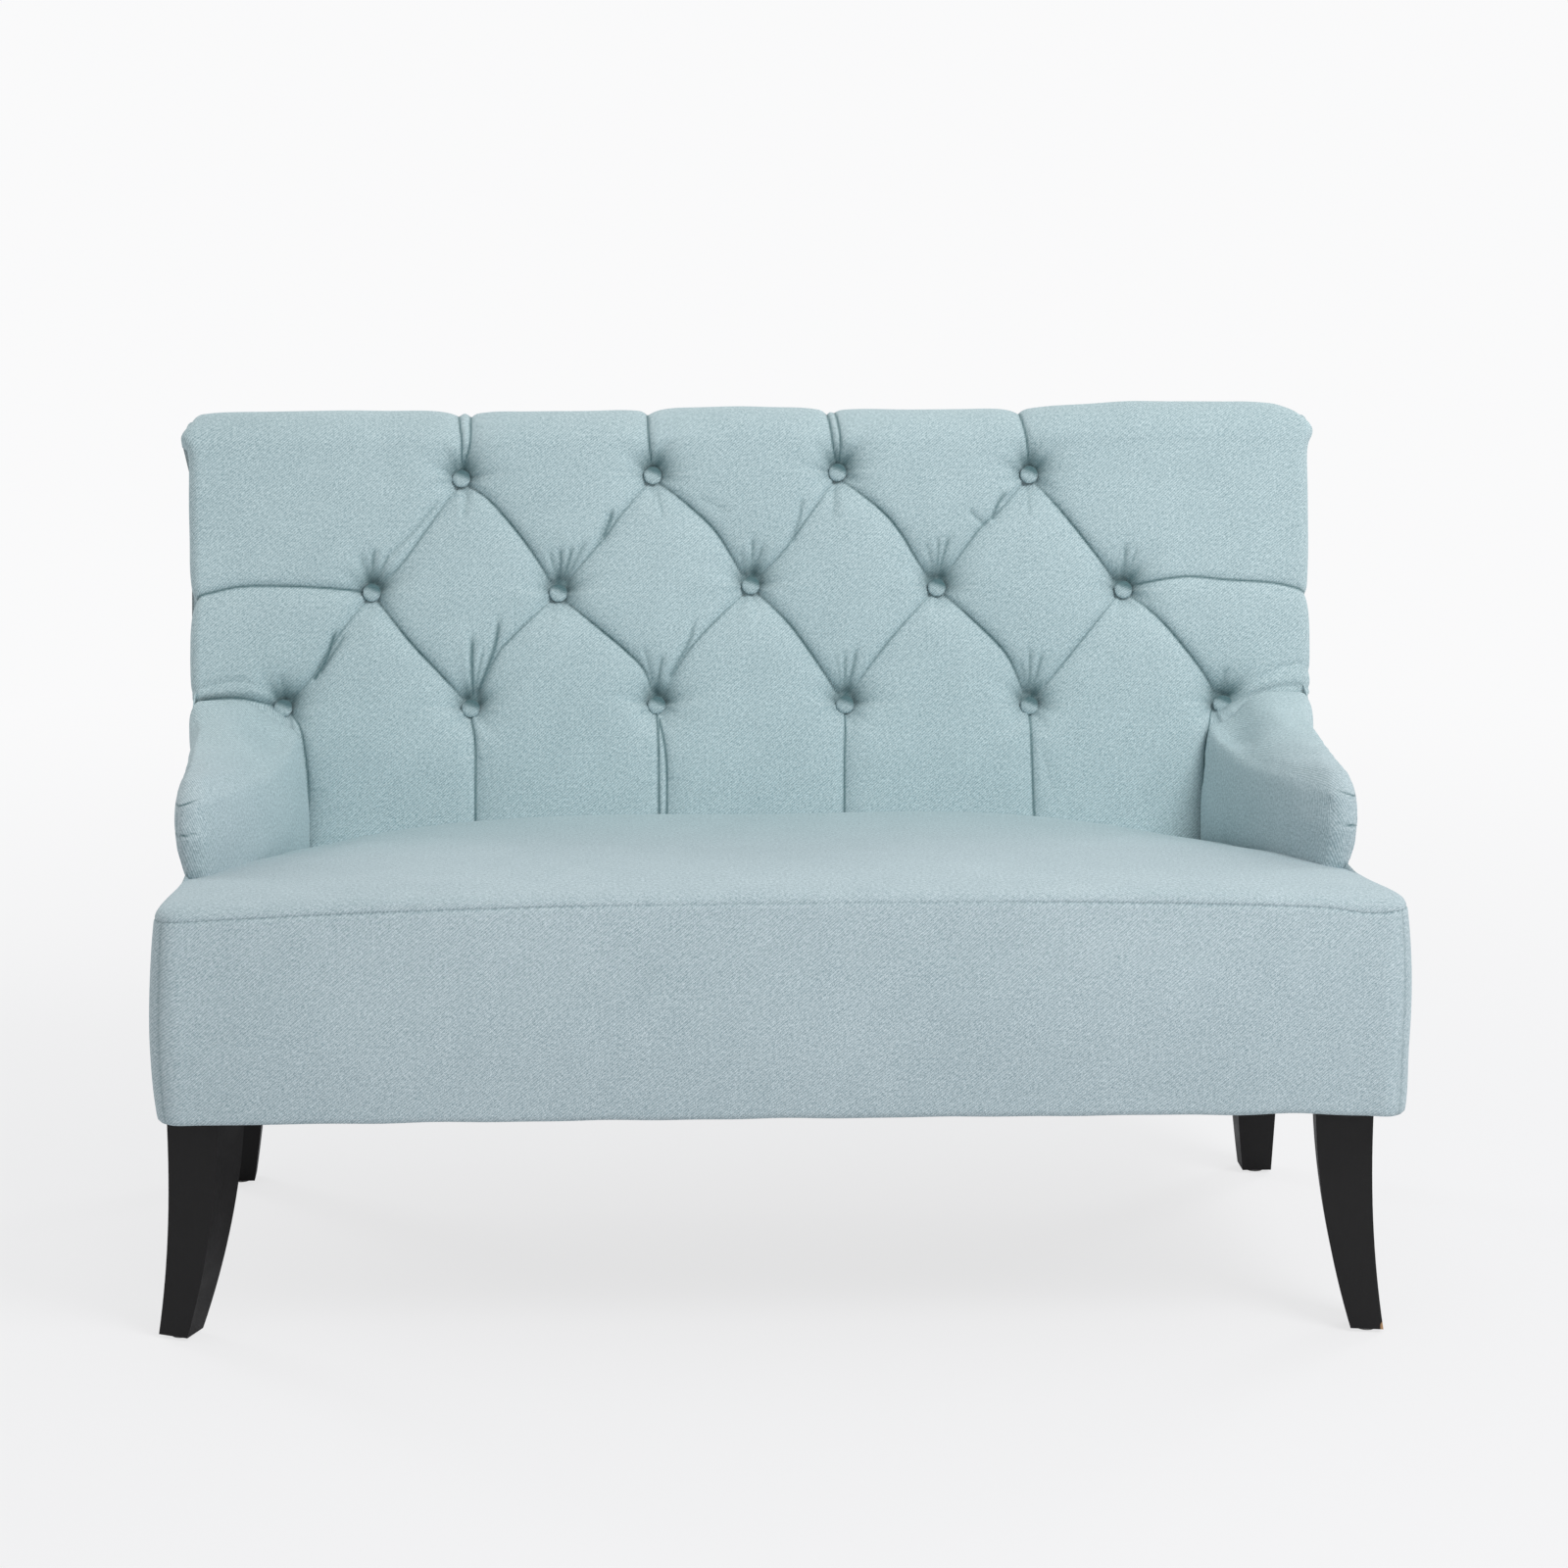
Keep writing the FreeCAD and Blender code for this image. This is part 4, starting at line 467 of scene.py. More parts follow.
# Lesser folds and wrinkles: route, then depth and width. Each fades towards its first point.
WRINKLES = [
    (-153, 341, -157, 326, -164, 308, 2.2, 5), (-150, 333, -160, 322, -170, 300, 1.2, 6),
    (62, 357, 58, 330, 50, 303, 1.6, 4.5), (296, 357, 284, 344, 277, 326, 2, 5),
    (246, 338, 256, 328, 268, 318, 1.6, 4), (-461, 212, -470, 195, -478, 172, -491, 150, 2.6, 4),
    (-452, 205, -466, 184, -484, 158, 1.8, 4), (-340, 362, -372, 322, -402, 290, 1.2, 5),
    (-20, 330, -38, 342, -52, 348, 0.8, 6), (-313, 205, -314, 165, -313, 128, 2.6, 4.5),
    (-282, 228, -288, 184, -309, 130, 2.4, 5), (-298, 190, -306, 158, -311, 130, 1.6, 3.5),
    (-98, 178, -103, 150, -105, 130, 1.9, 4), (-61, 220, -68, 190, -90, 150, 1.7, 5),
    (-122, 190, -114, 160, -108, 130, 1.3, 4), (-228, 296, -220, 272, -217, 256, 1.6, 4),
    (-214, 300, -213, 280, -215, 256, 2.2, 4), (-199, 302, -204, 280, -212, 256, 2, 4.5),
    (-182, 309, -194, 284, -210, 256, 1.5, 5), (4, 311, 4, 290, 3, 262, 1.8, 4.5),
    (18, 300, 12, 285, 4, 262, 1.6, 4), (-12, 296, -6, 280, 0, 262, 1.2, 4),
    (214, 312, 214, 290, 213, 258, 1.8, 4), (229, 313, 222, 290, 215, 258, 1.9, 4.5),
    (198, 300, 205, 282, 211, 258, 1.2, 4), (-422, 300, -425, 280, -427, 258, 1.9, 4.5),
    (-440, 292, -435, 275, -429, 256, 1.3, 4), (-404, 296, -413, 276, -424, 256, 1.6, 4),
    (426, 300, 426, 280, 425, 256, 1.8, 4), (440, 296, 435, 276, 427, 256, 1.4, 4),
    (107, 181, 107, 155, 107, 128, 1.8, 4), (121, 186, 116, 156, 109, 128, 1.9, 4.5),
    (95, 176, 100, 152, 105, 128, 1.1, 4), (315, 184, 316, 155, 316, 126, 1.8, 4),
    (331, 178, 325, 152, 318, 126, 1.8, 4.5), (303, 168, 309, 146, 314, 126, 1.1, 4),
    (-528, 158, -528, 142, -527, 128, 1.4, 4), (536, 158, 535, 142, 534, 124, 1.4, 4),
    (-323, 325, -320, 340, -318, 360, 1.0, 5), (-97, 322, -99, 340, -103, 360, 1.0, 5),
    (97, 322, 97, 336, 99, 360, 1.0, 5), (319, 322, 318, 336, 318, 360, 1.0, 5),
]


def let_out(x):
    """Lets the back's sides out, a little on the left and more on the right."""
    return x + np.where(x < 0, -0.0043, 0.0078) * ease(0.50, 0.62, np.abs(x))


def back_point(x, w, v):
    """Places points given across, behind the crown and up the back."""
    x, w, v = np.broadcast_arrays(let_out(np.asarray(x, float)), w, v)
    return np.stack([x, BASE_Y + v * math.sin(LEAN) + w * math.cos(LEAN),
                     BASE_Z + v * math.cos(LEAN) - w * math.sin(LEAN)], -1)


def near(route, x, s, reach):
    """Distance of each point to a route, on which side it lies and how far along it is."""
    line = through(np.reshape(route, (-1, 2)) / 1000, 5)
    low, high = line.min(0) - reach, line.max(0) + reach
    inside = (x > low[0]) & (x < high[0]) & (s > low[1]) & (s < high[1])
    px, ps = x[inside], s[inside]
    best = np.full(px.shape, 9.0)
    side = np.zeros(px.shape)
    share = np.zeros(px.shape)
    steps = np.linalg.norm(np.diff(line, axis=0), axis=1)
    run = np.concatenate([[0], np.cumsum(steps)])
    for (ax, ay), (bx, by), length, start in zip(line, line[1:], steps, run):
        dx, dy = (bx - ax) / length, (by - ay) / length
        t = np.clip((px - ax) * dx + (ps - ay) * dy, 0, length)
        gap = np.hypot(px - ax - t * dx, ps - ay - t * dy)
        nearer = gap < best
        best = np.where(nearer, gap, best)
        above = np.sign((px - ax) * dy - (ps - ay) * dx)
        side = np.where(nearer, -above if dx >= 0 else above, side)
        share = np.where(nearer, (start + t) / run[-1], share)
    return inside, best, side, share


def deepen(field, inside, value):
    field[inside] = np.maximum(field[inside], value)


def back_depth(x, s):
    """How far the cover lies behind the crown, and how much painted shade darkens it, over the whole back.
    """
    broad = np.zeros_like(x)
    narrow = np.zeros_like(x)
    shade = np.zeros_like(x)
    for routes, fold, dark in ((SHARP_CREASES, 5.6, 0.95), (FAINT_CREASES, 4.2, 0.62)):
        for route in routes:
            inside, gap, side, share = near(route, x, s, 0.09)
            middle = np.sin(np.pi * share)
            ends = 1 - middle
            puff = within(gap, 0.075)
            rise = 0.0036 + 0.0050 * ends
            deepen(broad, inside, rise * (1 - np.sqrt(1 - puff ** 2)) * 1.2 + 0.0022 * puff ** 2)
            steep = np.where(side > 0, 0.0042 + 0.002 * ends, 0.0100 + 0.006 * ends)
            groove = np.exp(-(gap / steep) ** 1.15)
            depth = fold * (0.75 + 0.25 * middle) * 0.001
            deepen(narrow, inside, depth * groove)
            # Painted shade: a thin dark line along each crease.
            deepen(shade, inside, bell(gap, 0, CREASE_LINE) * dark * (0.55 + 0.45 * middle))
    for *route, fold in PLEATS:
        inside, gap, side, share = near(route, x, s, 0.05)
        strong = fold > 3
        deepen(broad, inside, fold * 0.0006 * within(gap, 0.045) ** 2)
        steep = np.where(side > 0, 0.0040, 0.0085)
        groove = np.exp(-(gap / steep) ** 1.15)
        fade = 1 if strong else np.sin(np.pi * np.clip(share, 0.02, 0.98))
        deepen(narrow, inside, fold * 0.001 * groove * fade)
        if strong:
            # Painted shade: a thin dark line along each deep pleat.
            deepen(shade, inside, bell(gap, 0, PLEAT_LINE) * 0.86)
    small = np.zeros_like(x)
    for *route, fold, width in WRINKLES:
        inside, gap, _, share = near(route, x, s, 0.02)
        taper = ease(0, 0.3, share)
        small[inside] += fold * 0.0015 * bell(gap, 0, width * 0.001) * taper
        # Painted shade along each wrinkle, darker for deeper ones.
        deepen(shade, inside, 0.80 * bell(gap, 0, width * 0.0006) * taper * fold / 2.6)
    pit = np.zeros_like(x)
    for number, (bx, bs) in enumerate(BUTTONS):
        dx, ds = x - bx / 1000, s - bs / 1000
        wide = np.hypot(dx, ds * 0.92)
        turn = np.arctan2(ds, dx)
        spokes = 1 + 0.10 * np.cos(5 * turn + number) + 0.07 * np.cos(9 * turn + 2.1 * number)
        spread = np.where(ds > 0, 0.0225, 0.0165) * spokes
        pit = np.maximum(pit, 0.0200 * np.exp(-(wide / spread) ** 1.5))
        # Painted shade in each button's pit, centred a little above and right of the button.
        under = np.hypot(dx - 0.003, ds - 0.009)
        shade = np.maximum(shade, 0.76 * spokes * bell(under, 0, 0.0205))
        level = np.hypot(dx / 3.4, ds - 0.001)
        pull = bell(level, 0, 0.0042) * bell(dx, 0, 0.034)
        small += 0.0016 * pull * (np.abs(dx) > 0.006)
    waves = 0.0009 * ripple(3, x, s, size=0.34) + 0.00035 * ripple(5, x, s, size=0.11)
    rise = ease(-0.046, 0.03, s)
    foot = 0.004 * fading(-0.02, 0.07, s)
    depth = broad + narrow + small + pit + foot + waves * rise
    return np.clip(depth, -0.002, DEEPEST), np.clip(shade, 0, 1)


def spaced(low, high, step):
    return np.linspace(low, high, max(2, int(round((high - low) / step)) + 1))


SIDE_ROUND = 0.014
SIDE_WRAP = 0.030
BACK_FOOT = -0.052


def make_inside_back():
    """The tufted cover, up the face of the back, over its scroll and round its sides, closed behind."""
    step = 0.0018
    flat = HALF_BACK - SIDE_ROUND
    bend = SIDE_ROUND * math.pi / 2
    reach = flat + bend + SIDE_WRAP - SIDE_ROUND
    across = spaced(-reach, reach, step)
    front = spaced(BACK_FOOT, SCROLL_V, step)
    wrap = spaced(SCROLL_V, SCROLL_V + TUCK * SCROLL_R, step * 1.15)[1:]
    up = np.concatenate([front, wrap])
    h, s = np.meshgrid(across, up)
    depth, shade = back_depth(h, s)
    off = np.abs(h)
    over = off - flat
    turn = np.clip(over / SIDE_ROUND, 0, math.pi / 2)
    straight = np.clip(over - bend, 0, None)
    sign = np.sign(h)
    tucked = 0.038 * fading(0.100, 0.126, s) * ease(0.50, 0.60, off)
    x = sign * (np.minimum(off, flat) + SIDE_ROUND * np.sin(turn) - depth * np.sin(turn) - tucked)
    draw = 0.0008 * bell(s, 0.246, 0.05)
    past = (s - SCROLL_V) / SCROLL_R
    ear = np.where(h < 0, 0.0095, 0.0072) * bell(past, 0.42, 0.38)
    x += sign * (ear * ease(0.575, 0.625, off) - draw * ease(0.5, 0.64, off))
    w = SIDE_ROUND * (1 - np.cos(turn)) + straight + depth * np.cos(turn)
    angle = np.clip(past, 0, None)
    swell = 0.0015 * np.sin(np.clip(angle, 0, math.pi)) * (1 + ripple(8, h, size=0.5))
    corner = np.where(h < 0, 0.003, 0.010) * ease(0.592, 0.640, off)
    swell = swell - corner * ease(0.45, 1.4, past)
    high_right = 0.0046 * ease(0.33, 0.46, h) * fading(0.56, 0.63, h)
    swell = swell + high_right * np.sin(np.clip(angle, 0, math.pi))
    radius = np.maximum(SCROLL_R - w + swell, 0.002)
    v = np.where(s <= SCROLL_V, s, SCROLL_V + radius * np.sin(angle))
    w = np.where(s <= SCROLL_V, w, SCROLL_W - radius * np.cos(angle))
    rows, columns = h.shape
    points = back_point(x, w, v).reshape(-1, 3)
    inner_w = SIDE_WRAP + 0.011
    points = np.vstack([points, back_point(x[-1], inner_w, SCROLL_END_V),
                        back_point(x[0], inner_w, BACK_FOOT)])
    piece = piece_from("inside_back", points, tube_faces(rows + 2, columns))
    mark_cloth(piece, h, s)
    # The fold attribute holds the painted shade of the creases, pleats, wrinkles and button pits.
    mark(piece, "fold", np.concatenate([shade.ravel(), np.zeros(2 * columns)]))
    clean(piece, 1e-8)
    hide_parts("inside_back_cover", "back_foam")


def make_buttons():
    """Domed covered buttons, each with its cloth drawn over the rim."""
    points, faces, shade = [], [], []
    rng = np.random.default_rng(11)
    # Radius and height of the dome, from its back to its middle.
    profile = [(0.0020, 0.0082), (0.0022, 0.0002), (0.0088, 0.0000), (0.0098, -0.0012), (0.0101, -0.0026),
               (0.0096, -0.0040), (0.0080, -0.0052), (0.0055, -0.0059), (0.0028, -0.0062), (0.0, -0.0063)]
    radius, out = np.transpose(profile)[..., None]
    around = 32
    turn = 2 * math.pi * np.arange(around) / around
    for bx, bs in BUTTONS:
        tilt = rng.normal(0, 0.07, 2)
        wave = radius * (1 + 0.012 * np.cos(7 * turn + bx))
        px, pv = wave * np.cos(turn), wave * np.sin(turn)
        w = BUTTON_W + out + px * tilt[0] + pv * tilt[1]
        faces.append(grid_faces(len(profile), around, len(points) * px.size, around=True))
        points.append(back_point(bx / 1000 + px, w, bs / 1000 + pv).reshape(-1, 3))
        # Painted shade: darkens each button, most over its upper part, where the fold above would shade
        # it.
        shade.append(0.18 + 0.74 * ease(-0.003, 0.008, pv + 0.4 * px))
    piece = piece_from("covered_buttons", np.vstack(points), np.vstack(faces))
    mark(piece, "fold", np.array(shade))
    clean(piece)
    lay_cloth(piece)
    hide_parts("tufting_buttons")


# Seat and apron

SEAT_FRONT_Y = -0.3474
SEAT_DEPTH = 0.523
HALF_SEAT = 0.613
APRON_LOW = 0.247
SEAT_BACK_Y = 0.186
CORNER_RADIUS = 0.025


def seat_width(x, y, z):
    """Lets the seat out at its front corners and draws it in under the arms."""
    out = fading(-0.31, -0.17, y)
    wide = x * (1 + 0.0135 * out) + 0.0031 * out
    waist = 0.007 * ease(-0.30, -0.16, y) * ease(0.38, 0.45, z)
    high = np.where(x > 0, bell(z, 0.459, 0.006), ease(0.449, 0.464, z))
    waist = waist + 0.0060 * high * ease(-0.36, -0.25, y)
    return wide - np.sign(x) * waist * ease(0.55, 0.61, np.abs(x))


def seat_height(x, y):
    """The top of the seat: crowned across its width and falling towards the back and the arms."""
    share = (y - SEAT_FRONT_Y) / SEAT_DEPTH
    fall = np.interp(share, [0, 0.05, 0.19, 0.38, 0.62, 0.85, 1.06],
                     [0, 0.01, 0.05, 0.30, 0.62, 0.9, 1.05])
    drop = np.interp(y, [-0.33, -0.155, -0.07, -0.03, 0.085, 0.16],
                     [0.014, 0.021, 0.024, 0.027, 0.045, 0.083])
    power = np.interp(y, [-0.33, 0.0, 0.16], [2.4, 3.4, 4.0])
    side = np.clip(np.abs(x) / 0.605, 0, 1)
    rest = 0.0014 * ripple(21, x, y, size=0.45) * (1 - side ** 4)
    return np.maximum(0.480 - 0.036 * fall - drop * side ** power + rest, 0.3995)


def seam_height(x, y):
    """The seam between seat and apron: arched along the front and level along the sides."""
    front = 0.4664 - 0.0148 * (np.abs(x) / HALF_SEAT) ** 2.2 + 0.0011 * x / HALF_SEAT
    front = front - 0.0045 * bell(x, 0.572, 0.030)
    return np.where(y > SEAT_FRONT_Y + 0.02, 0.4516 + 0.0010 * x / HALF_SEAT, front)


def rounded_plan(half, front, back, radius, per_side, per_corner):
    """A rectangle with rounded corners in plan, from the front left corner round by the right."""
    bends, points = [], []
    x, low, high = half - radius, front + radius, back - radius
    for index, (cx, cy) in enumerate([(-x, low), (x, low), (x, high), (-x, high)]):
        a = np.linspace(index + 2, index + 3, per_corner) * math.pi / 2
        bends.append(np.stack([cx + radius * np.cos(a), cy + radius * np.sin(a)], -1))
    for index, bend in enumerate(bends):
        k = np.linspace(0, 1, per_side[index % 2] + 1)[1:-1, None]
        points += [bend, bend[-1] + (bends[index - 3][0] - bend[-1]) * k]
    return np.vstack(points)


def make_seat():
    """The seat as a stuffed pad: a rolled edge all round, a crowned top and a flat underside."""
    nx, ny, nc = 110, 48, 8
    roll_x, roll_y = 0.024, 0.034
    bottom = APRON_LOW + 0.1457

    def ring(inset, height_share, drop=None):
        """Points round the seat, drawn in by a share of the roll, above or below the seam."""
        radius = CORNER_RADIUS * max(1 - inset, 0) + 1e-7
        plan = rounded_plan(HALF_SEAT - roll_x * inset, SEAT_FRONT_Y + roll_y * inset,
                            SEAT_BACK_Y - roll_x * inset, radius, (nx, ny), nc)
        x, y = plan.T
        low = np.minimum(seam_height(x, y), seat_height(0.605, y) - 0.0015)
        if drop is None:
            z = low + (seat_height(x, y) - low) * height_share
        else:
            z = low - drop if drop < 0.02 else np.full_like(x, bottom)
        return np.stack([seat_width(x, y, z), y, z], -1)

    rings = [ring(1, 0, 0.05), ring(0.45, 0, 0.05), ring(0.40, 0, 0.012), ring(0.10, 0, 0.0030),
             ring(0.035, 0, 0.0006)]
    for t in np.linspace(0.03, 1, 13):
        a = t * math.pi / 2
        rings.append(ring(1 - math.cos(a) ** 0.77, math.sin(a) ** 0.77))
    count = len(rings[0])
    points = np.vstack(rings)
    held = np.repeat([1.0] * 6 + list(np.linspace(1, 0, 12)), count)
    faces = [grid_faces(len(rings), count, around=True)]
    gx, gy = np.meshgrid(np.linspace(roll_x - HALF_SEAT, HALF_SEAT - roll_x, nx + 1),
                         np.linspace(SEAT_FRONT_Y + roll_y, SEAT_BACK_Y - roll_x, ny + 1))
    grids = [np.stack([seat_width(gx, gy, z), gy, z], -1).reshape(-1, 3)
             for z in (seat_height(gx, gy), np.full_like(gx, bottom))]
    faces += [grid_faces(ny + 1, nx + 1, len(points)),
              grid_faces(ny + 1, nx + 1, len(points) + gx.size, flip=True)]
    piece = piece_from("seat_cushion", np.vstack([points] + grids), np.vstack(faces))
    mark(piece, "held", np.concatenate([held, np.zeros(gx.size), np.ones(gx.size)]))
    clean(piece, 2e-5)
    stuffed(piece, 0.0022, pinned="held")
    lay_cloth(piece)
    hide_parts("seat_top_cover", "seat_foam")


OUTSIDE_SLOPE = (0.3279 - 0.2456) / (0.7956 - 0.247)
SEAM_X = 0.604


def outside_back_y(z):
    """Where the outside back stands at a height: it leans back in a straight line."""
    return 0.2456 + (z - 0.247) * OUTSIDE_SLOPE


def make_apron():
    """The padded band round the seat: bulging faces, seamed corners and an edge that turns under."""
    step = 0.0035
    centre_x, centre_y = HALF_SEAT - CORNER_RADIUS, SEAT_FRONT_Y + CORNER_RADIUS
    corner = np.linspace(0, math.pi / 2, 14)[1:-1]
    right = [(centre_x + CORNER_RADIUS * math.sin(a), centre_y - CORNER_RADIUS * math.cos(a),
              math.sin(a), -math.cos(a)) for a in corner]
    right += [(HALF_SEAT, y, 1.0, 0.0) for y in spaced(centre_y, 0.302, step)]
    left = [(-x, y, -nx, ny) for x, y, nx, ny in right[::-1]]
    front = [(x, SEAT_FRONT_Y, 0.0, -1.0) for x in spaced(-centre_x, centre_x, step)]
    px, py, nx, ny = np.array(left + front + right).T
    run = np.concatenate([[0], np.cumsum(np.hypot(np.diff(px), np.diff(py)))])
    run -= run[-1] / 2
    top = seam_height(px, py)
    low = APRON_LOW - 0.0028 + 0.0012 * np.clip(1 - (px / 0.6) ** 2, 0, 1) * (ny < -0.5)
    low = low + 0.0006 * ripple(31, run, size=0.12) - 0.0026 * ease(0.50, 0.61, px)
    corner_line = bell(np.abs(px), SEAM_X, 0.0011) * (np.abs(nx) < 0.98)
    outer = ease(0.57, 0.605, np.abs(px)) * np.where(px > 0, 0.0038, 0.0015)
    stitches = 0.30 + 0.20 * np.sin(run * 2 * math.pi / 0.0052)

    def ring(out, z):
        return np.stack([px + nx * out, py + ny * out, z], -1)

    rows = [ring(-0.014, low + 0.0012), ring(-0.006, low + 0.0004)]
    shadow = [np.zeros_like(px)] * 2
    middle = spaced(0.06, 0.94, step / 0.21)
    for share in [0, 0.004, 0.012, 0.03, *middle, 0.97, 0.988, 0.996, 1]:
        z = low + (top - low) * share
        bulge = 0.007 * (1 - (2 * share - 1) ** 2)
        edge = 0.0011 * bell(share, 1, 0.006) + 0.0022 * bell(share, 0, 0.008)
        wave = 0.0011 * ripple(41, run, z, size=0.3) * math.sin(math.pi * share)
        out = bulge - edge + wave - 0.0010 * corner_line + 0.0003 + outer * fading(0, 0.35, share)
        rows.append(ring(out, z))
        # Painted shade: a soft dark line down each corner seam and dashes along the top seam.
        shadow.append(np.maximum(0.5 * corner_line, stitches * (share > 0.992)))
    rows += [ring(-0.004, top - 0.0035), ring(-0.010, top - 0.012)]
    shadow += [np.zeros_like(px)] * 2
    points = np.stack(rows)
    points[..., 0] = seat_width(points[..., 0], points[..., 1], points[..., 2])
    points[..., 1] = np.minimum(points[..., 1], outside_back_y(points[..., 2]) - 0.0025)
    piece = piece_from("apron", points.reshape(-1, 3), tube_faces(*points.shape[:2]))
    mark(piece, "fold", np.array(shadow))
    mark_cloth(piece, np.broadcast_to(run, points.shape[:2]), points[..., 2])
    clean(piece, 1e-8)
    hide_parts("apron_front_cover", "apron_side_cover_left", "apron_side_cover_right",
                "rail_wadding")


# Soft pieces grown from the solids

def applied(piece):
    """Replaces a piece's mesh by what its modifiers make of it."""
    graph = bpy.context.evaluated_depsgraph_get()
    mesh = bpy.data.meshes.new_from_object(piece.evaluated_get(graph))
    piece.modifiers.clear()
    old = piece.data
    piece.data = mesh
    mesh.name = piece.name
    bpy.data.meshes.remove(old)


def points_of(mesh):
    return read(mesh.vertices, "co", 3).astype(float)


def put_points(piece, points):
    piece.data.vertices.foreach_set("co", np.asarray(points, np.float32).ravel())
    piece.data.update()


def modified(piece, kind, **values):
    """Adds a modifier to a piece."""
    return adjust(piece.modifiers.new(kind, kind), **values)


def stuffed(piece, cap, pinned=None, frames=20):
    """Swells a closed form as stuffed cloth, never further than the cap, and refines it.
    """
    before = points_of(piece.data)
    cloth = modified(piece, "CLOTH")
    settings = adjust(cloth.settings, quality=4, mass=0.3, tension_stiffness=40, compression_stiffness=20,
                      bending_stiffness=0.6, use_pressure=True, uniform_pressure_force=3.0)
    settings.effector_weights.gravity = 0
    cloth.collision_settings.use_collision = False
    free = np.ones(len(before))
    if pinned:
        held = read(piece.data.attributes[pinned].data, "value")
        free = 1 - held
        group = piece.vertex_groups.new(name=pinned)
        for weight in np.unique(np.round(held[held > 0.02], 2)):
            chosen = np.nonzero(np.round(held, 2) == weight)[0]
            group.add(chosen.tolist(), float(weight), "REPLACE")
        settings.vertex_group_mass = pinned
    scene = bpy.context.scene
    for number in range(1, frames + 1):
        scene.frame_set(number)
    swollen = piece.evaluated_get(bpy.context.evaluated_depsgraph_get())
    after = points_of(swollen.to_mesh())
    swollen.to_mesh_clear()
    piece.modifiers.clear()
    piece.vertex_groups.clear()
    scene.frame_set(1)
    move = after - before
    length = np.linalg.norm(move, axis=1, keepdims=True)
    move *= cap * np.tanh(length / cap) / np.maximum(length, 1e-9) * free[:, None]
    put_points(piece, before + move)
    modified(piece, "SUBSURF", levels=1, render_levels=1)
    applied(piece)
    piece.data.shade_smooth()


def fused(name, nodes, voxel):
    """A piece of the arms' cloth: copies of CAD solids, made into one even skin and smoothed."""
    work = bmesh.new()
    for node in nodes:
        work.from_mesh(NODES[node].data)
    mesh = bpy.data.meshes.new(name)
    work.to_mesh(mesh)
    work.free()
    piece = as_piece(name, mesh, ARM_FABRIC)
    modified(piece, "REMESH", mode="VOXEL", voxel_size=voxel)
    modified(piece, "SMOOTH", factor=0.5, iterations=3)
    applied(piece)
    return piece


SIDES = {"left": -1, "right": 1}
PAD_SIDE = 0.612
SHEET_THICK = 0.0016


def arm_out(y, z):
    """How far an arm's outside stands out: a full nose, a waist at the seam, a flare into the back."""
    flare = 0.0045 * ease(-0.06, 0.10, y) + 0.0100 * ease(0.11, 0.185, y)
    flare = flare * ease(0.48, 0.53, z) * fading(0.205, 0.275, y)
    nose = 0.0030 * bell(z, 0.505, 0.032) * fading(-0.06, 0.02, y)
    return flare + nose - 0.0045 * fading(0.449, 0.475, z) * fading(0.16, 0.22, y)


def arm_sunk(y, z):
    """How far an arm's top lies under the plain form, most behind the nose."""
    drop = np.interp(y, [-0.15, -0.11, -0.035, 0.04, 0.10, 0.146, 0.185],
                     [0.004, 0.004, 0.013, 0.020, 0.016, 0.012, 0.0])
    return ease(0.50, 0.56, z) * drop


def make_arm(side, sign):
    """An arm's pad, grown from its solids: sunk behind the nose, with two tucks at its front."""
    nodes = ["arm_foam_" + side, "inside_arm_cover_" + side]
    piece = fused("arm_pad_" + side, nodes, 0.0045)
    stuffed(piece, 0.004)
    narrow, rear_drop, dark = (0.0065, 0.018, 0.05) if side == "right" else (0.0, 0.012, 0.20)
    points = points_of(piece.data)
    x, y, z = points[:, 0] * sign, points[:, 1], points[:, 2]
    outer = ease(0.560, 0.606, x)
    moved = x + outer * (arm_out(y, z) + 0.0018) + narrow * fading(0.520, 0.565, x)
    inner_rear = fading(0.535, 0.580, x) * ease(0.05, 0.14, y)
    down = arm_sunk(y, z) + rear_drop * ease(0.53, 0.56, z) * inner_rear
    down = down + 0.020 * fading(0.425, 0.46, z) * ease(-0.06, 0.10, y)
    down = down + 0.010 * fading(0.449, 0.470, z) * fading(-0.08, 0.02, y)
    # Painted shade, darker low on the outer front of the nose towards the seat, stronger on the left arm.
    under = fading(0.452, 0.530, z) * ease(0.50, 0.60, x) * fading(-0.10, 0.02, y)
    fold = dark * under
    # Each tuck is a thin painted shade line, with its points pushed back a little.
    for rise, slope, long in ((0.522, 0.42, 0.024), (0.492, 0.20, 0.026)):
        line = np.abs(z - rise - slope * (PAD_SIDE - x))
        touch = bell(line, 0, 0.0012) * ease(0.606 - long, 0.600, x) * (y < -0.10)
        fold = np.maximum(fold, 0.85 * touch)
        points[:, 1] += 0.0012 * touch
    points[:, 0] = moved * sign
    points[:, 2] -= down
    put_points(piece, points)
    lay_cloth(piece, fold)
    piece.data.shade_smooth()
    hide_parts(*nodes)


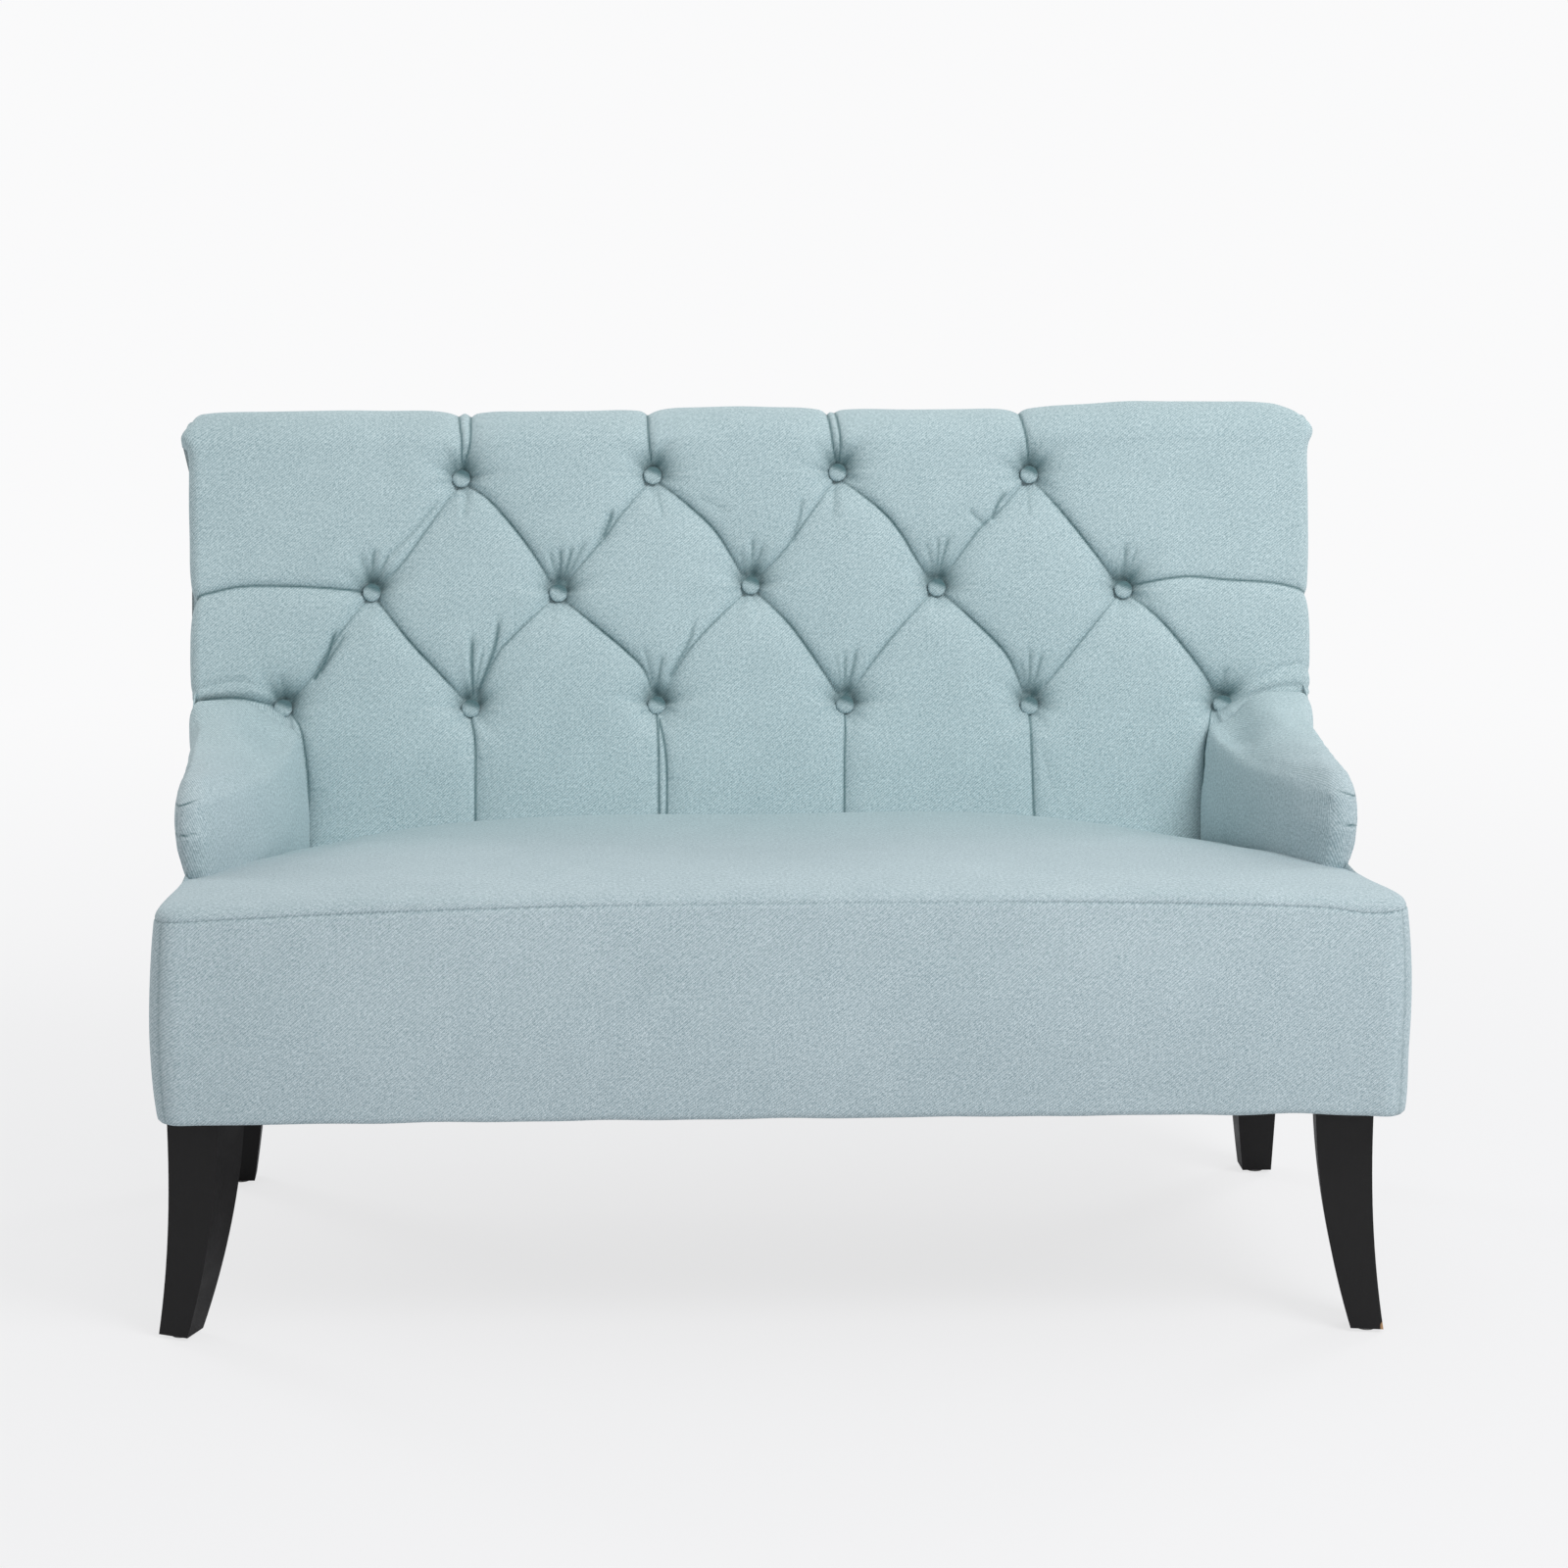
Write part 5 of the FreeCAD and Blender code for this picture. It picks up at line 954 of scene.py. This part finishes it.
def make_outside_arm(side, sign):
    """The cloth drawn flat over the outside of an arm and the foot of the back."""
    node = "outside_arm_cover_" + side
    mesh = NODES[node].data
    tree = BVHTree.FromPolygons([tuple(vert.co) for vert in mesh.vertices],
                                [tuple(face.vertices) for face in mesh.polygons])
    low_box, high_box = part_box(node)
    cut_x = sign * 0.6113
    columns = []
    for y in spaced(low_box.y + 0.004, high_box.y - 0.0008, 0.006):
        down = tree.ray_cast(Vector((cut_x, y, 0.9)), Vector((0, 0, -1)))[0]
        up = tree.ray_cast(Vector((cut_x, y, 0.3)), Vector((0, 0, 1)))[0]
        if down is not None and up is not None and down.z - up.z > 0.01:
            columns.append((y, up.z, down.z - 0.014 * fading(0.165, 0.195, y)))
    y, low, high = np.array(columns).T
    high = high - arm_sunk(y, high)
    share = np.linspace(0, 1, 28)[:, None]
    y = np.broadcast_to(y, (28, len(columns)))
    z = low + (high - low) * share
    edge = np.minimum(np.minimum(share, 1 - share) * (high - low), np.minimum(y - y[0, 0], y[0, -1] - y))
    puff = 0.0012 * within(edge, 0.02) ** 2
    x = sign * (0.6126 + arm_out(y, z) - puff + 0.0006 * ripple(51, y, z, size=0.2))
    piece = sheet_of("outside_arm_" + side, x, y, z, (-sign * SHEET_THICK, 0, 0))
    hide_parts(node)


def outside_back_w(v):
    """Depth behind the crown of the outside back at a rise along the back."""
    y = BASE_Y + v * math.sin(LEAN)
    z = BASE_Z + v * math.cos(LEAN)
    return (outside_back_y(z) - y) / (math.cos(LEAN) + OUTSIDE_SLOPE * math.sin(LEAN))


def make_back_side(side, sign):
    """The padded side of the back, above the arm."""
    rise = spaced(0.128, SCROLL_END_V + 0.002, 0.006)
    v, k = np.meshgrid(rise, np.linspace(0, 1, 14), indexing="ij")
    low_w = SIDE_WRAP + 0.0004
    high_w = outside_back_w(v) - 0.0022
    w = low_w + (high_w - low_w) * k
    puff = 0.0022 * within(np.minimum(w - low_w, high_w - w), 0.012) ** 2
    draw = 0.0008 * bell(v, 0.236, 0.05) + 0.001
    x = sign * (HALF_BACK - puff - draw + 0.0005 * ripple(61, v, w, size=0.15))
    piece = closed_between("back_side_" + side, back_point(x, w, v), back_point(sign * PAD_SIDE, w, v))
    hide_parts("back_side_cover_" + side, "back_side_padding_" + side)


def make_scroll_end(side, sign):
    """The padded end of the scroll, inside the rim that the cover makes there."""
    around = 96
    turn = np.linspace(0, 2 * math.pi, around, endpoint=False)
    ear = ease(-0.10, 0.55, turn) * fading(2.0, 2.9, turn)
    ear = np.where(turn > 5.9, ease(-0.45, 0.1, turn - 2 * math.pi) * 0.2, ear)
    # How far out and how wide, as shares, from the seam to the middle.
    profile = [(0.0, 0.96), (0.06, 0.985), (0.18, 1.0), (0.38, 0.985), (0.6, 0.94), (0.8, 0.86),
               (0.93, 0.75), (0.99, 0.6), (1.0, 0.42), (0.99, 0.2), (0.985, 0.0)]
    rings = []
    for out, wide in profile:
        x = sign * (0.6262 + out * (0.0020 + 0.0060 * ear) * (0.86 + 0.14 * (wide > 0.5)))
        gathers = 1 + 0.006 * np.cos(15 * turn + 2.0 * out) * (wide > 0.3)
        radius = (0.0400 - 0.0045 * ear) * wide * gathers
        rings.append(back_point(x, SCROLL_W - radius * np.cos(turn), SCROLL_V + radius * np.sin(turn)))
    faces = [*grid_faces(len(profile), around, around=True), range(around)]
    piece = piece_from("scroll_end_pad_" + side, np.vstack(rings), faces)
    clean(piece)
    lay_cloth(piece)
    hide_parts("scroll_end_" + side)


def closed_between(name, outer, inner, slot="blue_fabric"):
    """A closed form between two grids of points with the same rows and columns."""
    rows, width = outer.shape[:2]
    spots = np.arange(rows * width).reshape(rows, width)
    rim = np.concatenate([spots[:, 0], spots[-1, 1:], spots[-2::-1, -1], spots[0, -2:0:-1]])
    after = np.roll(rim, -1)
    faces = [grid_faces(rows, width), grid_faces(rows, width, rows * width, flip=True),
             np.stack([rim, after, after + rows * width, rim + rows * width], -1)]
    points = np.concatenate([outer, inner]).reshape(-1, 3)
    piece = piece_from(name, points, np.vstack(faces), slot)
    clean(piece)
    lay_cloth(piece)
    return piece


def sheet_of(name, x, y, z, inward, slot="blue_fabric"):
    """A thin sheet from a grid of points and the way from its outside to its inside."""
    outer = np.stack([x, y, z], -1)
    return closed_between(name, outer, outer + inward, slot)


def make_outside_back():
    """The cloth drawn over the whole rear, wider above the arms."""
    bottom, top = 0.2468, 0.7990
    z_rows = np.concatenate([spaced(bottom, 0.586, 0.012), spaced(0.588, top, 0.010)])
    k, z = np.meshgrid(np.linspace(-1, 1, 130), z_rows)
    half = PAD_SIDE + 0.0155 * ease(0.5795, 0.5895, z)
    x = k * half
    edge = np.minimum(half - np.abs(x), np.minimum(z - bottom, top - z))
    belly = 0.004 * np.sin(math.pi * np.clip((z - 0.25) / 0.54, 0, 1)) * (1 - k ** 4)
    y = outside_back_y(z) + belly * 0.6 + 0.0007 * ripple(71, x, z, size=0.25)
    y = y - 0.0012 * within(edge, 0.01) ** 2
    x = np.where(z > 0.585, let_out(x), x)
    piece = sheet_of("outside_back", x, y, z, (0, -SHEET_THICK, 0))
    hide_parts("outside_back_cover")


def grid_over(node, step):
    """The box of a CAD node, its size in plan and a level grid of points over it."""
    low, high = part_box(node)
    flat = (high.x - low.x, high.y - low.y)
    return low, high, flat, *np.meshgrid(spaced(low.x, high.x, step), spaced(low.y, high.y, step))


def make_deck_cloth():
    """The cloth laid over the springs, a little lower between them."""
    low, high, flat, x, y = grid_over("seat_deck_cloth", 0.02)
    z = high.z - np.abs(np.sin(x / 0.110 * math.pi)) * 0.0004
    piece = sheet_of("deck_sheet", x, y, z, (0, 0, -0.0012), "deck_cloth")
    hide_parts("seat_deck_cloth")


def make_dust_cover():
    """The thin cloth stapled under the rails, sagging a little and puckered at its edge."""
    low, high, flat, x, y = grid_over("dust_cover", 0.012)
    edge = np.minimum(np.minimum(x - low.x, high.x - x), np.minimum(y - low.y, high.y - y))
    inside = ease(0.02, 0.16, edge)
    sag = 0.006 * inside * (1 + 0.5 * ripple(81, x, y, size=0.5))
    sag = sag + 0.0006 * ripple(83, x, y, size=0.08) * inside
    pucker = 0.0004 * np.sin((x + y) / 0.062 * 2 * math.pi) * fading(0.005, 0.05, edge)
    z = low.z + 0.0002 - sag + pucker
    piece = sheet_of("dust_sheet", x, y, z, (0, 0, 0.0006), "black_cambric")
    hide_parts("dust_cover")


# Finishes of the solids that stay, stage and camera

def dress_nodes():
    for part in frame["record"]["subparts"]:
        for holder in NODES[part["node"]].material_slots:
            holder.material = FINISHES[part["material_slot"]]


def light(name, spot, target, size, power):
    lamp = bpy.data.lights.new(name, "AREA")
    adjust(lamp, shape="RECTANGLE", size=size[0], size_y=size[1], energy=power)
    holder = linked(name, lamp)
    holder.location = spot
    holder.rotation_euler = (Vector(target) - Vector(spot)).to_track_quat("-Z", "Y").to_euler()


STUDIO_WHITE = (0.955, 0.955, 0.96, 1.0)


def make_stage():
    """A white floor that runs into the white air, and four soft lights."""
    mesh = bpy.data.meshes.new("studio_floor")
    wide = 14.0
    corners = [(-wide, -wide, 0), (wide, -wide, 0), (wide, wide, 0), (-wide, wide, 0)]
    mesh.from_pydata(corners, [], [(0, 1, 2, 3)])
    floor = linked("studio_floor", mesh)
    g = Graph("studio_white")
    spot = g.place()
    shade = g.mix(g.noise(spot, 9.0, 3.0) * 0.2, rgb(216, 216, 219), rgb(212, 212, 216))
    paint = g.node("ShaderNodeBsdfDiffuse", None, Color=shade)
    glow = g.node("ShaderNodeEmission", None, Color=STUDIO_WHITE, Strength=1.0)
    far = g.distance(spot, (0.0, -1.4, 0.0)).ramp(1.8, 4.8, 0.76, 1.0) * g.ray("Is Camera Ray")
    g.node("ShaderNodeOutputMaterial", None, g.node("ShaderNodeMixShader", None, far, paint, glow))
    mesh.materials.append(g.owner)
    g = Graph("studio_air", "worlds")
    seen = g.ray("Is Camera Ray").larger(g.ray("Is Glossy Ray"))
    air = g.node("ShaderNodeBackground", None, Color=(1.0, 0.995, 0.99, 1.0), Strength=0.56)
    white = g.node("ShaderNodeBackground", None, Color=STUDIO_WHITE, Strength=1.0)
    g.node("ShaderNodeOutputWorld", None, g.node("ShaderNodeMixShader", None, seen, air, white))
    bpy.context.scene.world = g.owner
    light("key_softbox", (1.9, -2.3, 3.5), (0.0, 0.0, 0.5), (1.6, 1.6), 91)
    light("fill_softbox", (0.4, -3.8, 1.2), (0.0, 0.0, 0.4), (2.2, 2.2), 13)
    light("rim_strip", (-2.6, 1.9, 1.9), (-0.4, 0.1, 0.6), (0.8, 2.0), 22)
    light("rim_strip_right", (2.6, 1.9, 1.9), (0.4, 0.1, 0.6), (0.8, 2.0), 22)


def make_camera():
    """The camera solved from the photograph: its place, turns in radians, lens and shifts."""
    camera = bpy.data.cameras.new("camera")
    adjust(camera, sensor_width=36, lens=84.2, shift_x=0.10, shift_y=-0.0875)
    holder = linked("camera", camera)
    yaw, pitch, roll = 0.0196, 0.1724, -0.0046
    holder.matrix_world = (Matrix.Translation((-0.2189, -3.8544, 1.334)) @ Matrix.Rotation(-yaw, 4, "Z")
                           @ Matrix.Rotation(math.pi / 2 - pitch, 4, "X") @ Matrix.Rotation(roll, 4, "Z"))
    bpy.context.scene.camera = holder


def main():
    dress_nodes()
    make_inside_back()
    make_buttons()
    make_seat()
    make_apron()
    for side, sign in SIDES.items():
        make_arm(side, sign)
        make_outside_arm(side, sign)
        make_back_side(side, sign)
        make_scroll_end(side, sign)
    make_outside_back()
    make_deck_cloth()
    make_dust_cover()
    make_stage()
    make_camera()
    bpy.context.scene.view_settings.view_transform = "Standard"


main()
